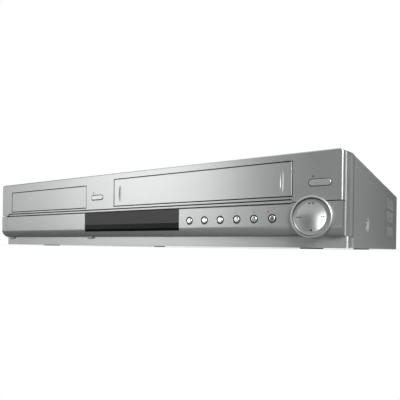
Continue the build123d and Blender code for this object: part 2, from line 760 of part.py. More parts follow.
def make_tray_drive():
    """Tray gear with its pulley, the motor, its pulley and the belt."""
    root, tip = gear_radius - 1.1, gear_radius + 0.8
    small_pulley, belt_low = 3.0, 29.0
    with BuildPart() as tray_gear:
        rod_z(gear_x, gear_depth, tray_low - 4.3, tray_low - 0.5, root)
        with BuildSketch(level_plane(tray_low - 4.3)):
            for index in range(gear_teeth):
                turn = 180 / gear_teeth + index * 360 / gear_teeth
                with Locations(Location((gear_x, gear_depth, 0), (0, 0, turn))):
                    with Locations(((root + tip) / 2 - 0.1, 0)):
                        Trapezoid(1.9, tip - root + 0.2, 74, 74, rotation=-90)
        extrude(amount=3.8)
        rod_z(gear_x, gear_depth, 26.4, 43.5, 4)
        rod_z(gear_x, gear_depth, 26.8, 32.6, pulley_radius + 1)
        with BuildSketch(section_plane(gear_x, gear_depth)):
            with Locations((pulley_radius + 1.5, 29.7)):
                Rectangle(3, 2.2)
        revolve(axis=Axis((gear_x, depth(gear_depth), 0), (0, 0, 1)), mode=Mode.SUBTRACT)
        rod_z(gear_x, gear_depth, 26, 48, 2 + fit, Mode.SUBTRACT)
    save(tray_gear, "tray_gear")

    with BuildPart() as loading_motor:
        rod_z(motor_x, gear_depth, 11.5, 24, 10)
        rod_z(motor_x, gear_depth, 24, 26, 1.5)
    save(loading_motor, "loading_motor")

    with BuildPart() as motor_pulley:
        rod_z(motor_x, gear_depth, 26.5, 32.6, small_pulley + 1)
        with BuildSketch(section_plane(motor_x, gear_depth)):
            with Locations((small_pulley + 1, 29.7)):
                Rectangle(2, 2.2)
        revolve(axis=Axis((motor_x, depth(gear_depth), 0), (0, 0, 1)), mode=Mode.SUBTRACT)
    save(motor_pulley, "motor_pulley")

    lean = math.acos((pulley_radius - small_pulley) / (motor_x - gear_x))
    with BuildPart() as tray_belt:
        with BuildSketch(level_plane(belt_low)):
            for grow, mode in ((1.6, Mode.ADD), (0.3, Mode.SUBTRACT)):
                big, small = pulley_radius + grow, small_pulley + grow
                rise_x, rise_y = math.cos(lean), math.sin(lean)
                with BuildLine():
                    upper = Line((gear_x + big * rise_x, gear_depth + big * rise_y),
                                 (motor_x + small * rise_x, gear_depth + small * rise_y))
                    lower = Line((motor_x + small * rise_x, gear_depth - small * rise_y),
                                 (gear_x + big * rise_x, gear_depth - big * rise_y))
                    ThreePointArc(upper @ 1, (motor_x + small, gear_depth), lower @ 0)
                    ThreePointArc(lower @ 1, (gear_x - big, gear_depth), upper @ 0)
                make_face(mode=mode)
        extrude(amount=1.4)
    save(tray_belt, "tray_belt")


def make_traverse():
    """Tilting traverse with its guide rods and motor, the sled, its screw and the turntable."""
    rod_height = traverse_level + 8
    top = traverse_level + 1.5
    with BuildPart() as traverse_plate:
        block(tray_x - traverse_half, tray_x + traverse_half, traverse_front, traverse_rear,
              traverse_level, top)
        block(tray_x - 22, tray_x + 22, 96, 170, traverse_level - 1, top + 1, Mode.SUBTRACT)
        rod_z(tray_x, spindle_depth, traverse_level - 4, 44, 13)
        rod_z(tray_x, spindle_depth, 40, 45.5, 1.5 + fit, Mode.SUBTRACT)
        for start in (91.5, 176):
            block(tray_x - 44, tray_x + 36, start, start + 3, top, rod_height + 3)
        block(tray_x - 36, tray_x + 28, 90, 95, top, rod_height + 4, Mode.SUBTRACT)
        for x in (tray_x - guide_rod_offset, tray_x + guide_rod_offset):
            block(x - 3, x + 3, 91.5, 94.5, top, rod_height + 3)
            rod_y(x, rod_height, 94, 177, 1.5)
        block(tray_x - 44, tray_x - 28, 91.5, 94.5, top, top + 4)
        rod_y(screw_x, rod_height, 91, 180, 0.8 + fit, Mode.SUBTRACT)
        for side in (-1, 1):
            edge, tip = tray_x + side * (traverse_half - 1), tray_x + side * (traverse_half + 4.5)
            rod_x(min(edge, tip), max(edge, tip), traverse_pivot_depth, traverse_level + 0.75, 1.5)
        block(tray_x - traverse_half, tray_x + traverse_half, traverse_pivot_depth - 2,
              traverse_pivot_depth + 2, traverse_level - 0.75, top + 0.75)
    save(traverse_plate, "traverse_plate")

    with BuildPart() as pickup_sled:
        sled_half = guide_rod_offset + 4.5
        block(tray_x - sled_half, tray_x + sled_half, sled_front, sled_front + sled_length,
              rod_height - 3.6, rod_height + 5)
        rod_z(tray_x, sled_front + 8, rod_height + 4, tray_low - 0.8, 3)
        block(screw_x - 3.5, screw_x + 6, sled_front + 8, sled_front + 18, rod_height - 3.6,
              rod_height + 3.6)
        for x in (tray_x - guide_rod_offset, tray_x + guide_rod_offset):
            rod_y(x, rod_height, 90, 130, 1.5 + fit, Mode.SUBTRACT)
        rod_y(screw_x, rod_height, 90, 130, 1.5 + fit, Mode.SUBTRACT)
    save(pickup_sled, "pickup_sled")

    with BuildPart() as sled_screw:
        rod_y(screw_x, rod_height, 94.8, 175.7, 1.5)
        rod_y(screw_x, rod_height, 92.5, 178, 0.8)
    save(sled_screw, "sled_screw")

    with BuildPart() as turntable:
        rod_z(tray_x, spindle_depth, 49.5, turntable_top, 15)
        rod_z(tray_x, spindle_depth, 45, 49.5, 5)
        rod_z(tray_x, spindle_depth, 41, 45, 1.5)
        rod_z(tray_x, spindle_depth, turntable_top, turntable_top + 1.8, 7.4)
        fillet(turntable.edges().filter_by(GeomType.CIRCLE).sort_by(Axis.Z)[-1], 1.2)
    save(turntable, "turntable")


def make_clamp():
    """Bridge over the tray and the free clamp puck that hangs in it."""
    outer = tray_width / 2 + 3.1
    low = turntable_top + 1.4
    bridge_low = 57.0
    with BuildPart() as clamp_bridge:
        block(tray_x - outer, tray_x + outer, spindle_depth - 20, spindle_depth + 20, bridge_low,
              bridge_low + 1.5)
        rod_z(tray_x, spindle_depth, bridge_low - 1, bridge_low + 3, 9.5, Mode.SUBTRACT)
    save(clamp_bridge, "clamp_bridge")

    with BuildPart() as clamp_puck:
        rod_z(tray_x, spindle_depth, low, low + 2, 13)
        rod_z(tray_x, spindle_depth, low + 2, bridge_low + 1.9, 9)
        rod_z(tray_x, spindle_depth, bridge_low + 1.9, bridge_low + 3.4, 12)
        rod_z(tray_x, spindle_depth, low - 1, low + 1.5, 7.9, Mode.SUBTRACT)
    save(clamp_puck, "clamp_puck")


# ---- Tape deck ----
def make_deck_plate():
    """Deck plate on four posts, with reel spindles, the capstan bearing and guide slots."""
    post_x = deck_half - 8
    with BuildPart() as deck_plate:
        block(deck_x - deck_half, deck_x + deck_half, 30, deck_rear, deck_low, deck_top)
        for x in (deck_x - post_x, deck_x + post_x):
            for d in (40, deck_rear - 9):
                rod_z(x, d, pan_top, deck_low, 4)
        rod_z(capstan_x, capstan_depth, deck_top, 26, 4.5)
        rod_z(capstan_x, capstan_depth, deck_low - 1, 27, 2 + fit, Mode.SUBTRACT)
        for side in (-1, 1):
            rod_z(deck_x + side * reel_offset, reel_depth, deck_top, 29, 1.5)
        rod_z(arm_x, arm_depth, deck_top, 30, 2)
    save(deck_plate, "deck_plate")


def make_drum():
    """Fixed lower drum and the spinning upper drum."""
    seam = 38.0
    with BuildPart() as lower_drum:
        rod_z(deck_x, drum_depth, deck_top, 27, 22)
        rod_z(deck_x, drum_depth, 27, seam, drum_radius)
        rod_z(deck_x, drum_depth, seam - 6, seam + 1, 3 + fit, Mode.SUBTRACT)
    save(lower_drum, "lower_drum")
    with BuildPart() as upper_drum:
        rod_z(deck_x, drum_depth, seam + 0.3, 51, drum_radius)
        rod_z(deck_x, drum_depth, 47, 52, drum_radius - 5, Mode.SUBTRACT)
        rod_z(deck_x, drum_depth, 46, 53, 8)
        rod_z(deck_x, drum_depth, seam - 5, seam + 1, 3)
    save(upper_drum, "upper_drum")


def make_tape_drive():
    """Capstan with its flywheel, pinch arm, pinch roller and the two reel tables."""
    with BuildPart() as capstan:
        rod_z(capstan_x, capstan_depth, 10, deck_low - 1, 22)
        rod_z(capstan_x, capstan_depth, deck_low - 2, 47, 2)
    save(capstan, "capstan")

    with BuildPart() as pinch_arm:
        rod_z(arm_x, arm_depth, 20, 29.5, 4)
        with BuildSketch(level_plane(26)):
            with Locations(((arm_x + roller_x) / 2, (arm_depth + roller_depth) / 2)):
                SlotCenterToCenter(arm_reach, 6, rotation=math.degrees(arm_open_turn))
        extrude(amount=2)
        rod_z(roller_x, roller_depth, 28, 45, 1.5)
        rod_z(arm_x, arm_depth, 19, 31, 2 + fit, Mode.SUBTRACT)
    save(pinch_arm, "pinch_arm")

    with BuildPart() as pinch_roller:
        rod_z(roller_x, roller_depth, 28.4, 44, roller_radius)
        rod_z(roller_x, roller_depth, 28, 45, 1.5 + fit, Mode.SUBTRACT)
    save(pinch_roller, "pinch_roller")

    for side, label in ((-1, "supply_reel"), (1, "take_up_reel")):
        x = deck_x + side * reel_offset
        with BuildPart() as reel:
            rod_z(x, reel_depth, 20, 23, 14)
            rod_z(x, reel_depth, 23, 33, 4.5)
            for turn in (90, 210, 330):
                spline_x = x + 4.4 * math.cos(math.radians(turn))
                spline_depth = reel_depth + 4.4 * math.sin(math.radians(turn))
                rod_z(spline_x, spline_depth, 23, 32, 1)
            rod_z(x, reel_depth, 19, 29.5, 1.5 + fit, Mode.SUBTRACT)
        save(reel, label)


def make_tape_guides():
    """Two threading guides that carry the tape round the drum."""
    for side, label in ((-1, "supply_guide"), (1, "take_up_guide")):
        x = deck_x + side * guide_offset
        with BuildPart() as guide:
            rod_z(x, guide_depth, 19.8, 23, 4.5)
            rod_z(x, guide_depth, 23, 42, 1.6)
            rod_z(x, guide_depth, 42, 44, 2.6)
        save(guide, label)


def make_cassette_gear():
    """Side brackets, the carriage that draws the cassette in and the holder that lowers it."""
    holder_low = cassette_low - 1.2
    holder_top = cassette_low + cassette_height + 0.5
    side_in = cassette_width / 2 + 0.4
    side_out = side_in + 1
    plate_in, plate_out = side_out + 1.6, side_out + 2.8
    bracket_in, bracket_out = plate_out + 0.8, plate_out + 2
    pin_height = 57.0
    pin_depths = (60.0, 86.0)

    with BuildPart() as cassette_brackets:
        for side in (-1, 1):
            near, far = deck_x + side * bracket_in, deck_x + side * bracket_out
            foot = deck_x + side * (bracket_out + 5)
            block(min(near, far), max(near, far), 36, 150, deck_top, 70)
            block(min(near, foot), max(near, foot), 36, 150, deck_top, deck_top + 1.2)
        with BuildSketch(side_plane(deck_x - bracket_out - 1)):
            middle = (pin_depths[0] + pin_depths[1] + carriage_travel) / 2
            with Locations((middle, pin_height)):
                SlotOverall(pin_depths[1] - pin_depths[0] + carriage_travel + 6, 4)
        extrude(amount=2 * bracket_out + 2, mode=Mode.SUBTRACT)
    save(cassette_brackets, "cassette_brackets")

    with BuildPart() as cassette_carriage:
        for side in (-1, 1):
            near, far = deck_x + side * plate_in, deck_x + side * plate_out
            block(min(near, far), max(near, far), 50, 96, 24, 71.6)
            tip = deck_x + side * (bracket_out + 1)
            for pin_depth in pin_depths:
                rod_x(min(near, tip), max(near, tip), pin_depth, pin_height, 1.9)
        block(deck_x - plate_out, deck_x + plate_out, 56, 90, 70.4, 71.6)
        with BuildSketch(side_plane(deck_x - plate_out - 1)):
            with Locations((holder_pin_depth, holder_pin_height - holder_travel / 2)):
                SlotOverall(holder_travel + 3.4, 3.4, rotation=90)
        extrude(amount=2 * plate_out + 2, mode=Mode.SUBTRACT)
    save(cassette_carriage, "cassette_carriage")

    with BuildPart() as cassette_holder:
        rear = holder_front + holder_length
        block(deck_x - side_out, deck_x + side_out, holder_front, rear, holder_top, holder_top + 1)
        for side in (-1, 1):
            inside, outside = deck_x + side * side_in, deck_x + side * side_out
            block(min(inside, outside), max(inside, outside), holder_front, rear, holder_low, holder_top + 1)
            ledge = deck_x + side * (side_in - 12)
            block(min(ledge, outside), max(ledge, outside), holder_front, rear, holder_low, holder_low + 1)
            stop0, stop1 = deck_x + side * 70, deck_x + side * side_out
            block(min(stop0, stop1), max(stop0, stop1), rear - 1.2, rear, holder_low, holder_top + 1)
            pin = deck_x + side * (plate_out - 0.1)
            rod_x(min(inside, pin), max(inside, pin), holder_pin_depth, holder_pin_height, 1.5)
        block(deck_x - side_in, deck_x + side_in, holder_front - 1, rear - 1.2, holder_low + 1, holder_top,
              Mode.SUBTRACT)
    save(cassette_holder, "cassette_holder")


# ---- Boards and rear sockets ----
def make_front_boards():
    """Display tube and the key boards behind the front."""
    board_face, board_back = 14.0, 15.6
    low, middle, high = 12.0, 34.5, 60.0
    right = half_fascia - bezel_wall - 2.8
    with BuildPart() as display_module:
        block(window_left + 6, window_right - 6, 5.0, 13.0, 17.5, 32)
        block(window_left + 16, window_right - 16, 13.0, board_face, 20, 30)
    save(display_module, "display_module")
    with BuildPart() as key_board:
        block(disc_eject_x - 11, right, board_face, board_back, low, middle)
        block(tape_eject_x - 10, right, board_face, board_back, middle - 0.5, high)
        block(disc_eject_x - 11, disc_eject_x + 11, board_face, board_back, middle - 0.5, high)
        switch_places = [(x, button_height) for x in button_places]
        switch_places += [(disc_eject_x, disc_eject_height), (tape_eject_x, tape_eject_height)]
        for x, h in switch_places:
            block(x - 3, x + 3, switch_face, board_face, h - 3, h + 3)
        post_right = tape_eject_x + 3.2
        for x, h in ((disc_eject_x + 9, high - 2), (post_right, high - 2),
                     (disc_eject_x + 9, low + 2), (dial_x - 20.7, low + 2)):
            rod_y(x, h, fascia_depth + 2, board_face, 2)
    save(key_board, "key_board")


def board_posts(left, right, front):
    """Four spacers between the pan and the corners of a level board."""
    for x in (left + 6, right - 6):
        for d in (front + 6, board_rear - 6):
            rod_z(x, d, pan_top, board_low, 3)


def make_rear_boards():
    """Main board, power board with its capacitors, transformer and tuner."""
    main_left, main_right, main_front = deck_x - 97.6, half_width - 10, deck_rear + 7
    with BuildPart() as main_board:
        block(main_left, main_right, main_front, board_rear, board_low, board_top)
        # Each chip or screened box: X from the board's left, depth from its rear, then its sizes
        chips = ((80, 36, 28, 28, 2.4), (130, 40, 20, 20, 2), (40, 46, 24, 12, 3),
                 (170, 54, 22, 14, 3), (110, 61, 34, 10, 6))
        for x, d, long, wide, tall in chips:
            chip_x, chip_depth = main_left + x, board_rear - d
            block(chip_x - long / 2, chip_x + long / 2, chip_depth - wide / 2, chip_depth + wide / 2,
                  board_top, board_top + tall)
        board_posts(main_left, main_right, main_front)
    save(main_board, "main_board")

    power_left, power_right, power_front = 9 - half_width, tray_x + 81, loader_rear + 10
    sink_x, sink_rear = power_right - 64, board_rear - 26
    with BuildPart() as power_board:
        block(power_left, power_right, power_front, board_rear, board_low, board_top)
        # Each capacitor: X from the board's right, depth from its front, radius and height
        cans = ((36, 24, 9, 30), (16, 24, 6, 20), (56, 20, 6, 20), (18, 46, 5, 16), (36, 52, 8, 25),
                (76, 16, 5, 14))
        for x, d, radius, tall in cans:
            rod_z(power_right - x, power_front + d, board_top, board_top + tall, radius)
        block(sink_x - 4, sink_x, sink_rear - 50, sink_rear, board_top, board_top + 28)
        board_posts(power_left, power_right, power_front)
    save(power_board, "power_board")

    core_left, core_right, core_rear = inlet_x + 8, inlet_x + 52, cabinet_depth - inlet_length - 24.5
    winding_high, core_high = board_top + 10, board_top + 24
    with BuildPart() as transformer:
        block(core_left, core_right, core_rear - 34, core_rear, board_top, winding_high)
        block(core_left + 6, core_right - 6, core_rear - 38, core_rear + 4, winding_high, core_high)
        block(core_left, core_right, core_rear - 34, core_rear, core_high, core_high + 8)
    save(transformer, "transformer")
    with BuildPart() as tuner_module:
        block(aerial_x - 24, aerial_x + 24, rear_inner - 39.5, rear_inner - 1.2, board_top, 36)
    save(tuner_module, "tuner_module")


def make_rear_sockets():
    """Phono block, aerial sockets and the power inlet."""
    back = cabinet_depth + socket_proud
    with BuildPart() as phono_sockets:
        half_long = phono_pitch * (phono_columns - 1) / 2 + 8
        block(phono_x - half_long, phono_x + half_long, rear_inner - 10, rear_inner,
              phono_height - phono_rise / 2 - 8, phono_height + phono_rise / 2 + 8)
        with BuildSketch(face_plane(rear_inner)):
            with Locations((phono_x, phono_height)):
                with GridLocations(phono_pitch, phono_rise, phono_columns, 2):
                    Circle(phono_radius)
        extrude(amount=rear_inner - back)
        with BuildSketch(face_plane(back)):
            with Locations((phono_x, phono_height)):
                with GridLocations(phono_pitch, phono_rise, phono_columns, 2):
                    Circle(phono_bore)
        extrude(amount=9, mode=Mode.SUBTRACT)
    save(phono_sockets, "phono_sockets")

    with BuildPart() as aerial_sockets:
        for side in (-1, 1):
            x = aerial_x + side * aerial_pitch / 2
            rod_y(x, aerial_height, cabinet_depth, back, aerial_radius)
            rod_y(x, aerial_height, rear_inner - 1.2, cabinet_depth, aerial_radius + gap / 2)
            rod_y(x, aerial_height, cabinet_depth + 1, back + 1, 1.6, Mode.SUBTRACT)
    save(aerial_sockets, "aerial_sockets")

    with BuildPart() as power_inlet:
        with BuildSketch(face_plane(cabinet_depth + 1)):
            with Locations((inlet_x, inlet_height)):
                RectangleRounded(inlet_width, inlet_rise, 3)
        extrude(amount=inlet_length)
        with BuildSketch(face_plane(cabinet_depth + 1)):
            with Locations((inlet_x, inlet_height)):
                RectangleRounded(inlet_width + 4, inlet_rise + 4, 3)
        extrude(amount=1)
        with BuildSketch(face_plane(cabinet_depth + 2)):
            with Locations((inlet_x, inlet_height)):
                SlotOverall(16, 8.5)
        extrude(amount=15, mode=Mode.SUBTRACT)
        for side in (-1, 1):
            rod_y(inlet_x + side * 4.3, inlet_height, cabinet_depth - 14, cabinet_depth - 5, 1.2)
    save(power_inlet, "power_inlet")


for make in (make_base_pan, make_top_cover, make_rear_panel, make_feet, make_case_screws, make_plinth,
             make_upper_fascia, make_lower_fascia, make_front_frame, make_rib, make_window, make_flap,
             make_front_jacks, make_dial, make_buttons, make_tray_door, make_cassette_door,
             make_disc_tray, make_loader_frame, make_tray_drive, make_traverse, make_clamp,
             make_deck_plate, make_drum, make_tape_drive, make_tape_guides, make_cassette_gear,
             make_front_boards, make_rear_boards, make_rear_sockets):
    make()
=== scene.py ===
"""Looks for a low silver disc and cassette player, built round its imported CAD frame."""

import math

import bmesh
import bpy
from bpy.props import FloatProperty, FloatVectorProperty, PointerProperty
from mathutils import Matrix, Vector


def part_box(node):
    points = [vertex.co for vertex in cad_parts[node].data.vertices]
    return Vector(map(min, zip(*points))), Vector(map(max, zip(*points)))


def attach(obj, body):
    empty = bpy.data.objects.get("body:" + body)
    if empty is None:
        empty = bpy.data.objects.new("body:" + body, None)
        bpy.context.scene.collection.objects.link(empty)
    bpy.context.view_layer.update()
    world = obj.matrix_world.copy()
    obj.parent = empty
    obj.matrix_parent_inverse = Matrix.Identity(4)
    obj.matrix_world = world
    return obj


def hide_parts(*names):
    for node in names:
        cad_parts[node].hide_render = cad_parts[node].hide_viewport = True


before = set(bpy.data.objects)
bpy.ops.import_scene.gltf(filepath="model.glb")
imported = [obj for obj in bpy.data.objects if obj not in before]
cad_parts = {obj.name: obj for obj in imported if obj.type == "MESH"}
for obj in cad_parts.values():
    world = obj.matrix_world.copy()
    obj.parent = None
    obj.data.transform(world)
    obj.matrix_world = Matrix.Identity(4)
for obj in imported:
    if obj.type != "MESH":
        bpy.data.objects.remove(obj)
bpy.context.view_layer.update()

bl_info = {
    "name": "Disc and cassette player",
    "version": (1, 0, 0),
    "blender": (4, 5, 0),
    "location": "3D View > Sidebar > Player",
    "description": "Finishes, symbols, sockets and studio for a silver disc and cassette player",
    "category": "Object",
}

MM = 0.001


def low(node):
    """Lowest corner of a CAD node."""
    return Vector(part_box(node)[0])


def high(node):
    """Highest corner of a CAD node."""
    return Vector(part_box(node)[1])


def middle(node):
    """Centre of a CAD node's box."""
    return (low(node) + high(node)) / 2


FACE_Y = low("tray_door").y
HALF_FASCIA = high("upper_fascia").x
FASCIA_TOP = high("upper_fascia").z
BASE_Z = low("plinth").z
CHIN_Z = low("display_window").z + 4.5 * MM
FASCIA_EDGE = 3.0 * MM
WINDOW_SHADE_RISE = 7.2 * MM

SCREW_RADIUS = 3.4 * MM
SCREW_THICKNESS = 2.0 * MM
SIDE_SCREW_DEPTH = 86 * MM
SIDE_SCREW_RISE = 24 * MM
SIDE_SCREW_INSET = 2.0 * MM
REAR_SCREW_REACH = 190 * MM
REAR_SCREW_RISE = 66 * MM

LINER_THICKNESS = 0.3 * MM
LINER_INSET = 1.0 * MM
LINER_FROM_REAR = (100 * MM, 44 * MM)
LINER_RISE = (17 * MM, 66 * MM)

EJECT_MARK_LEFT = 5.3 * MM
EJECT_MARK_RISE = 5.0 * MM
KEY_MARK_RISE = 5.8 * MM
RECORD_MARK_LEFT = 3.4 * MM
RECORD_MARK_RADIUS = 0.85
RECORD_MARK_POINTS = 24
PRINT_PROUD = 0.05 * MM
PRINT_THICKNESS = 0.12 * MM
PAD_DISH_RADIUS = 40 * MM
PAD_RIM_DEPTH = 0.3 * MM
PAD_MARK_SUNK = 0.2 * MM

COLLAR_BORE = 4.2 * MM
COLLAR_RADIUS = 5.3 * MM
COLLAR_LENGTH = 2.2 * MM
SOCKET_COLUMNS = 6
SOCKET_PITCH = 18 * MM
FRONT_SOCKET_PITCH = 20 * MM
FRONT_SOCKET_DEPTH = 12.0 * MM

CAMERA_RIGHT = 279.6 * MM
CAMERA_BEFORE_FACE = 310.9 * MM
CAMERA_HEIGHT = 0.3 * MM
FLOOR_HALF = 4.0
FLOOR_CLEAR_X = 0.25
FLOOR_CLEAR_Y = 0.20
FLOOR_FADE_RATE = 7.0
FLOOR_MIRROR_SHARE = 0.3

FLAKE_SCALE = 5200
CLOUD_SCALE = 38
PEEL_SCALE = 900


# ---- Shader building ----
class Signal:
    """A socket of numbers that adds Math nodes when it is used in an expression."""

    def __init__(self, shade, socket):
        self.shade = shade
        self.socket = socket

    def _math(self, operation, first, second):
        """One Math node on two values."""
        node = self.shade.node("ShaderNodeMath", {"operation": operation}, {0: first, 1: second})
        return Signal(self.shade, node.outputs[0])

    def __add__(self, other):
        return self._math("ADD", self, other)

    def __radd__(self, other):
        return self._math("ADD", other, self)

    def __sub__(self, other):
        return self._math("SUBTRACT", self, other)

    def __rsub__(self, other):
        return self._math("SUBTRACT", other, self)

    def __mul__(self, other):
        return self._math("MULTIPLY", self, other)

    def __rmul__(self, other):
        return self._math("MULTIPLY", other, self)

    def above(self, limit):
        """1 where the value is over the limit."""
        return self._math("GREATER_THAN", self, limit)

    def below(self, limit):
        """1 where the value is under the limit."""
        return self._math("LESS_THAN", self, limit)

    def size(self):
        """The value without its sign."""
        return self._math("ABSOLUTE", self, 0.0)

    def larger(self, other):
        """The larger of two values."""
        return self._math("MAXIMUM", self, other)

    def smaller(self, other):
        """The smaller of two values."""
        return self._math("MINIMUM", self, other)


class Shade:
    """A material under construction, with object coordinates ready to use."""

    def __init__(self, name):
        self.material = bpy.data.materials.new(name)
        self.material.use_nodes = True
        self.tree = self.material.node_tree
        self.bsdf = self.tree.nodes["Principled BSDF"]
        self.where = self.node("ShaderNodeTexCoord").outputs["Object"]

    def node(self, kind, settings=None, values=None):
        """Adds one node: its settings first, then the values or links of its sockets."""
        node = self.tree.nodes.new(kind)
        for key, value in (settings or {}).items():
            setattr(node, key, value)
        for key, value in (values or {}).items():
            self.feed(node.inputs[key], value)
        return node

    def feed(self, socket, value):
        """Links or sets one socket."""
        if isinstance(value, Signal):
            self.tree.links.new(value.socket, socket)
        elif isinstance(value, bpy.types.NodeSocket):
            self.tree.links.new(value, socket)
        else:
            socket.default_value = value

    def place(self):
        """Three signals with the point's place on the object, in metres."""
        split = self.node("ShaderNodeSeparateXYZ", None, {0: self.where})
        return [Signal(self, socket) for socket in split.outputs]

    def noise(self, scale, detail=2.0, stretch=(1, 1, 1)):
        """Noise over the object, in lumps per metre, stretched per axis."""
        mapped = self.node("ShaderNodeMapping", None, {"Vector": self.where, "Scale": stretch})
        noise = self.node("ShaderNodeTexNoise", None,
                          {"Vector": mapped.outputs[0], "Scale": scale, "Detail": detail})
        return Signal(self, noise.outputs["Fac"])

    def blend(self, factor, first, second):
        """Colour between two colours."""
        mix = self.node("ShaderNodeMix", {"data_type": "RGBA"}, {0: factor, 6: first, 7: second})
        return mix.outputs[2]

    def bump(self, value, strength, distance):
        """Sends a height to the shader's normal."""
        bump = self.node("ShaderNodeBump", None,
                         {"Strength": strength, "Distance": distance, "Height": value})
        self.feed(self.bsdf.inputs["Normal"], bump.outputs[0])

    def set(self, **sockets):
        """Sets the shader's own sockets by name."""
        for name, value in sockets.items():
            self.feed(self.bsdf.inputs[name.replace("_", " ")], value)
        return self.material


def rgba(colour, gain=1.0):
    """Colour with alpha, lightened or darkened."""
    return tuple(min(1.0, c * gain) for c in colour[:3]) + (1.0,)


def silver_paint(name, colour, metallic=0.55, roughness=0.34):
    """Sprayed silver lacquer: fine flake, faint mottling and an orange-peel surface."""
    shade = Shade(name)
    flake = shade.noise(FLAKE_SCALE, 1.0)
    cloud = shade.noise(CLOUD_SCALE, 3.0)
    tone = flake * 0.55 + cloud * 0.45
    base = shade.blend(tone, rgba(colour, 0.9), rgba(colour, 1.1))
    shade.bump(shade.noise(PEEL_SCALE, 2.0) + flake * 0.25, 0.05, 0.0004)
    return shade.set(Base_Color=base, Metallic=metallic, Roughness=cloud * 0.08 + (roughness - 0.04),
                     Coat_Weight=0.25, Coat_Roughness=0.12)


def silver_with_gap_shade(name, colour, gap_depth, metallic=0.72, roughness=0.31):
    """Silver lacquer on the visible face, with painted shade: every surface set back in the gaps turns
    near-black and dull.
    """
    shade = Shade(name)
    flake = shade.noise(FLAKE_SCALE, 1.0)
    cloud = shade.noise(CLOUD_SCALE, 3.0)
    x, y, z = shade.place()
    edge = HALF_FASCIA - FASCIA_EDGE
    # Painted shade: surfaces deeper than gap_depth behind the face, within the fascia's edges, are made
    # near-black and dull.
    gap_shade = y.above(FACE_Y + gap_depth) * x.size().below(edge)
    gap_shade = gap_shade * z.above(CHIN_Z) * z.below(FASCIA_TOP - FASCIA_EDGE)
    lacquer = shade.blend(flake * 0.55 + cloud * 0.45, rgba(colour, 0.92), rgba(colour, 1.08))
    base = shade.blend(gap_shade, lacquer, (0.012, 0.012, 0.013, 1))
    shade.bump(shade.noise(PEEL_SCALE, 2.0) + flake * 0.25, 0.04, 0.0004)
    return shade.set(Base_Color=base, Metallic=metallic - gap_shade * metallic,
                     Roughness=cloud * 0.06 + gap_shade * 0.3 + (roughness - 0.03),
                     Coat_Weight=0.15, Coat_Roughness=0.12)


def moulded(name, colour, roughness=0.5, grain=1400, coat=0.0, specular=0.5):
    """Moulded plastic with a fine grain and slightly uneven gloss."""
    shade = Shade(name)
    grain_signal = shade.noise(grain, 2.0)
    cloud = shade.noise(60, 2.0)
    base = shade.blend(cloud, rgba(colour, 0.88), rgba(colour, 1.12))
    shade.bump(grain_signal, 0.12, 0.0003)
    shade.bsdf.inputs["Specular IOR Level"].default_value = specular
    return shade.set(Base_Color=base, Roughness=grain_signal * 0.12 + (roughness - 0.06), Coat_Weight=coat)


def sheet_metal(name, colour, roughness=0.32, stretch=(1, 40, 1), metallic=1.0):
    """Rolled or brushed sheet with fine lines along one direction."""
    shade = Shade(name)
    lines = shade.noise(160, 3.0, stretch)
    spots = shade.noise(220, 2.0)
    base = shade.blend(lines * 0.6 + spots * 0.4, rgba(colour, 0.82), rgba(colour, 1.12))
    shade.bump(lines, 0.06, 0.0003)
    return shade.set(Base_Color=base, Metallic=metallic, Roughness=lines * 0.18 + (roughness - 0.09))


def powder_coat(name, colour):
    """Textured paint on the pressed steel cover: fine pebbles over a soft sheen."""
    shade = Shade(name)
    pebble = shade.noise(2600, 2.0)
    cloud = shade.noise(22, 2.0)
    base = shade.blend(cloud * 0.5 + pebble * 0.5, rgba(colour, 0.9), rgba(colour, 1.1))
    shade.bump(pebble, 0.18, 0.0003)
    return shade.set(Base_Color=base, Metallic=0.35, Roughness=pebble * 0.14 + 0.36)


def circuit_board(name, colour, trace):
    """Lacquered board: pale traces on a grid and solder points."""
    shade = Shade(name)
    bricks = shade.node("ShaderNodeTexBrick", None,
                        {"Vector": shade.where, "Scale": 90.0, "Mortar Size": 0.06, "Color1": rgba(colour),
                         "Color2": rgba(colour, 1.15), "Mortar": rgba(trace)})
    dots = shade.node("ShaderNodeTexVoronoi", None, {"Vector": shade.where, "Scale": 260.0})
    solder = 1 - Signal(shade, dots.outputs["Distance"]).above(0.22)
    base = shade.blend(solder, bricks.outputs["Color"], (0.62, 0.62, 0.6, 1))
    shade.bump(solder, 0.3, 0.0004)
    return shade.set(Base_Color=base, Roughness=0.42 - solder * 0.12, Metallic=solder * 0.7)


def smoked_window(name, colour, shaded_below_z):
    """Dark glossy window with painted shade: a tenth as bright below a given height."""
    shade = Shade(name)
    z = shade.place()[2]
    haze = shade.noise(70, 2.0)
    # Painted shade: below the given height the window's colour drops to a tenth.
    base = shade.blend(z.above(shaded_below_z), rgba(colour, 0.1), rgba(colour, 1.0))
    shade.bsdf.inputs["Specular IOR Level"].default_value = 0.09
    return shade.set(Base_Color=base, Roughness=haze * 0.05 + 0.13)


def rubber(name, colour):
    """Matt rubber with a fine grain."""
    return moulded(name, colour, 0.8, 2200, 0.0, 0.3)


def turned_metal(name, colour, axis_point, roughness=0.22):
    """Turned metal with rings round an upright axis."""
    shade = Shade(name)
    mapped = shade.node("ShaderNodeMapping", None,
                        {"Vector": shade.where, "Location": (-axis_point.x, -axis_point.y, 0)})
    rings = shade.node("ShaderNodeTexWave", {"wave_type": "RINGS", "rings_direction": "Z"},
                       {"Vector": mapped.outputs[0], "Scale": 900.0, "Distortion": 0.6})
    ring = Signal(shade, rings.outputs["Fac"])
    base = shade.blend(ring, rgba(colour, 0.86), rgba(colour, 1.1))
    shade.bump(ring, 0.05, 0.0002)
    return shade.set(Base_Color=base, Metallic=1.0, Roughness=ring * 0.1 + (roughness - 0.05))


# ---- Mesh helpers ----
def dress(nodes, material):
    """Gives carried-over CAD nodes their finish."""
    for name in nodes:
        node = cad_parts[name]
        node.data.materials.clear()
        node.data.materials.append(material)


